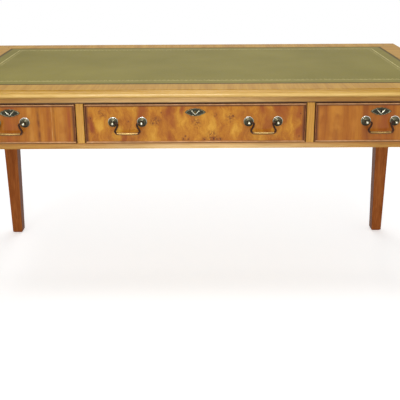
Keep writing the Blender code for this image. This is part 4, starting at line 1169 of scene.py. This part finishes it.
def handle_post(node, centre_x, towards_middle):
    """A post with a blind hole in its ball for the bail's pin, on the side of the handle's middle."""
    grid, wear_and_highlight = post_surface(centre_x)
    piece = grid_piece(node + "_turned", grid, False, antique_brass, wear_and_highlight)
    pin_y = DRAWER_FACE_Y - PIN_REACH
    low, high = sorted(centre_x + towards_middle * reach for reach in (BORE_START, BORE_END))
    drill(piece, tube_between("bore_tool", (low, pin_y, PIN_Z), (high, pin_y, PIN_Z), BORE_RADIUS))
    return stand_in(piece, node)


MIDDLE_HANDLE = 0.1875
HANDLES = {"left_handle": -SIDE_CENTRE, "middle_handle_left": -MIDDLE_HANDLE,
           "middle_handle_right": MIDDLE_HANDLE, "right_handle": SIDE_CENTRE}
for handle, centre in HANDLES.items():
    handle_post(f"{handle}_post_left", centre - POST_HALF_SPACING, 1)
    handle_post(f"{handle}_post_right", centre + POST_HALF_SPACING, -1)
print("posts:", 2 * len(HANDLES))

# %% [markdown]
# ## Swan-neck bails
#
# The bail starts as a pin inside each ball, curls outwards and down in a swan's neck, and
# turns into a bar that is thickest where the fingers pull. It is one line carried by a circle:
# two cubic curves for the neck, a straight bar with a slight bow, and a radius for each point.


# %% Bail surface
def cubic(start, first, second, end, count):
    """Points along a cubic curve, its start left out: the four points weighted by (1-t) and t."""
    t = np.linspace(0.0, 1.0, count + 1)[1:, None]
    start, first, second, end = (np.array(point) for point in (start, first, second, end))
    return (1 - t) ** 3 * start + 3 * t * (1 - t) ** 2 * first + 3 * t * t * (1 - t) * second + t ** 3 * end


PIN = 0.0017
PIN_OUTER, PIN_INNER = 0.0377, 0.0310
NECK = 0.0028
GRIP = 0.0034
BETWEEN = (NECK + GRIP) / 2
BAR_HALF, BAR_DROP, BAR_BOW = 0.0270, 0.030, 0.0006
BAR_RUBBED = 0.46


def bail_line():
    """(x, rise, radius, grip wear) from one pin to the other: pin, two cubic curves, and half a sine bow."""
    pin = [(PIN_OUTER, 0.0, PIN, 0.0), (PIN_INNER, 0.0, PIN, 0.0)]
    upper = cubic(pin[1], (0.0232, 0.0, NECK, 0.0), (0.0268, -0.0096, NECK, 0.0),
                  (0.0332, -0.020, NECK, 0.0), 16)
    lower = cubic(upper[-1], (0.0353, -0.0234, NECK, 0.0), (0.0320, -BAR_DROP, NECK, 0.0),
                  (BAR_HALF, -BAR_DROP, BETWEEN, BAR_RUBBED), 16)
    share = np.linspace(0.0, 1.0, 13)[1:]
    swell = np.sin(math.pi / 2 * share)
    bar = np.column_stack([BAR_HALF * (1 - share), -BAR_DROP - BAR_BOW * swell,
                           BETWEEN + (GRIP - BETWEEN) * swell, BAR_RUBBED + 0.08 * swell])
    half = np.vstack([pin, upper, lower, bar])
    return np.vstack([half, half[-2::-1] * (-1, 1, 1, 1)])


def bail_surface(centre_x):
    """A circle at each point of the line, square to the line's direction there."""
    x, rise, radius, wear_and_highlight = bail_line().T
    line = np.column_stack([x, rise])
    along = np.gradient(line, axis=0)
    along /= np.linalg.norm(along, axis=1)[:, None]
    angle = all_round(24)
    side = np.outer(radius, np.cos(angle))
    depth = np.outer(radius, np.sin(angle))
    grid = np.dstack([centre_x + x[:, None] - side * along[:, 1:], DRAWER_FACE_Y - PIN_REACH + depth,
                      PIN_Z + rise[:, None] + side * along[:, :1]])
    # Painted light and shade: the bail is lighter on its upper and front sides, darker underneath and behind.
    facing = np.clip(0.55 + 0.45 * np.cos(angle) * along[:, :1] - 0.25 * np.sin(angle), 0.0, 1.0)
    return grid, wear_and_highlight[:, None] * facing


for handle, centre in HANDLES.items():
    grid, wear_and_highlight = bail_surface(centre)
    stand_in(grid_piece(f"{handle}_bail_swept", grid, False, bail_brass, wear_and_highlight), f"{handle}_bail")
print("bails:", len(HANDLES))

# %% [markdown]
# ## Escutcheons
#
# A pierced plate covers each keyhole: a lozenge with scalloped sides, cast with a raised rim,
# a collar round the hole and two ridges that run up from below it like a V. One grid makes it
# all: one direction goes round the plate, the other from the keyhole to the outer edge and
# back behind.

# %% Plate surface
PLATE_HALF_LENGTH = 0.029
PLATE_HALF_HEIGHT = 0.0115
KEYHOLE_RADIUS = 0.0024
SLOT_HALF = 0.0011
SLOT_REACH = 0.0065
PLATE_THICKNESS, RIDGE_HEIGHT, PLATE_EDGE = 0.0008, 0.0010, 0.0006
RIM_AT, RIM_SPREAD, COLLAR_SPREAD = 0.88, 0.07, 0.10
VEE_RUN, VEE_RISE, VEE_LENGTH = 12, 11, 16.3
VEE_AWAY, VEE_HALF, VEE_TOP, VEE_FADE = 4.7, 1.1, 5.0, 0.6


def plate_outline():
    """Half height times (1 - a squared)^0.85, with scallops from a cosine, for a from tip to tip."""
    t = np.linspace(-1.0, 1.0, 96, endpoint=False)
    along = 0.6 * t + 0.4 * t ** 3
    scallop = 0.88 + 0.12 * abs(np.cos(2.5 * math.pi * along))
    upper = np.column_stack([PLATE_HALF_LENGTH * along,
                             PLATE_HALF_HEIGHT * (1 - along ** 2) ** 0.85 * scallop])
    return np.vstack([upper, -upper])


def keyhole_outline(angle):
    """A circle, or the slot's wall or end where the slot reaches further, in each direction."""
    level, rise = abs(np.cos(angle)), np.sin(angle)
    slot = np.minimum(SLOT_HALF / np.maximum(level, 1e-6), SLOT_REACH / np.maximum(-rise, 1e-6))
    reach = np.where(rise < 0, np.maximum(KEYHOLE_RADIUS, slot), KEYHOLE_RADIUS)
    return np.column_stack([reach * np.cos(angle), reach * np.sin(angle)])


def plate_surface(centre_x):
    """Rows from keyhole to rim in front, then back behind: rim, collar and a V of two ridges.

    Each ridge is a bell curve of the distance from its line; the V's distances are in millimetres.
    """
    outer = plate_outline()
    angle = np.arctan2(outer[:, 1], outer[:, 0])
    inner = keyhole_outline(angle)
    share = np.linspace(0.0, 1.0, 33)[:, None]
    flat = inner[None] * (1 - share[:, :, None]) + outer[None] * share[:, :, None]
    x, z = 1000 * abs(flat[..., 0]), 1000 * flat[..., 1]
    rim = np.exp(-(((share - RIM_AT) / RIM_SPREAD) ** 2)) * np.ones_like(x)
    collar = np.exp(-((share / COLLAR_SPREAD) ** 2)) * np.ones_like(x)
    off_line = (VEE_RUN * x - VEE_RISE * z) / VEE_LENGTH - VEE_AWAY
    vee = np.exp(-((off_line / VEE_HALF) ** 2)) / (1 + np.exp((z - VEE_TOP) / VEE_FADE))
    height = PLATE_THICKNESS + RIDGE_HEIGHT * np.maximum(np.maximum(0.8 * rim, 0.8 * collar), vee)
    height[-1] = PLATE_EDGE
    front = np.dstack([centre_x + flat[..., 0], DRAWER_FACE_Y - SEAT - height, KEYHOLE_Z + flat[..., 1]])
    behind = front[::-1].copy()
    behind[..., 1] = DRAWER_FACE_Y - SEAT
    # Lighter on the rim from wear, and on the V from wear and a painted highlight.
    wear_and_highlight = np.vstack([0.02 + np.maximum(0.35 * rim, 0.80 * vee), np.zeros_like(vee)])
    return np.vstack([front, behind]), wear_and_highlight


for word, (centre, _) in DRAWERS.items():
    grid, wear_and_highlight = plate_surface(centre)
    stand_in(grid_piece(f"{word}_escutcheon_cast", grid, True, antique_brass, wear_and_highlight), f"{word}_escutcheon")
print("escutcheons:", len(DRAWERS))

# %% [markdown]
# ## Solids that stay
#
# Drawer fronts, linings, runners and locks are flat boards and plates whose shape is already
# right, so they stay as they are and only take on their finish.

# %% Finishes for the solids that stay
KEPT = {}
for side in ("left", "right"):
    KEPT[f"drawer_guide_{side}"] = runner_timber
    KEPT[f"drawer_partition_{side}"] = runner_timber
for word, veneer in zip(DRAWERS, (left_veneer, burr_veneer, right_veneer)):
    KEPT[f"{word}_drawer_front"] = veneer
    KEPT[f"{word}_drawer_side_left"] = lining_long
    KEPT[f"{word}_drawer_side_right"] = lining_long
    KEPT[f"{word}_drawer_back"] = lining_cross
    KEPT[f"{word}_drawer_bottom"] = bottom_ply
    KEPT[f"{word}_lock_case"] = lock_brass
    KEPT[f"{word}_lock_bolt"] = lock_brass
for node, material in KEPT.items():
    for slot in frame["nodes"][node].material_slots:
        slot.material = material
print("solids with a new finish:", len(KEPT))

# %% [markdown]
# ## The end
#
# Dressing the table must not make it bigger. At the end the scene is brought up to date.

# %% Finish
bpy.context.view_layer.update()
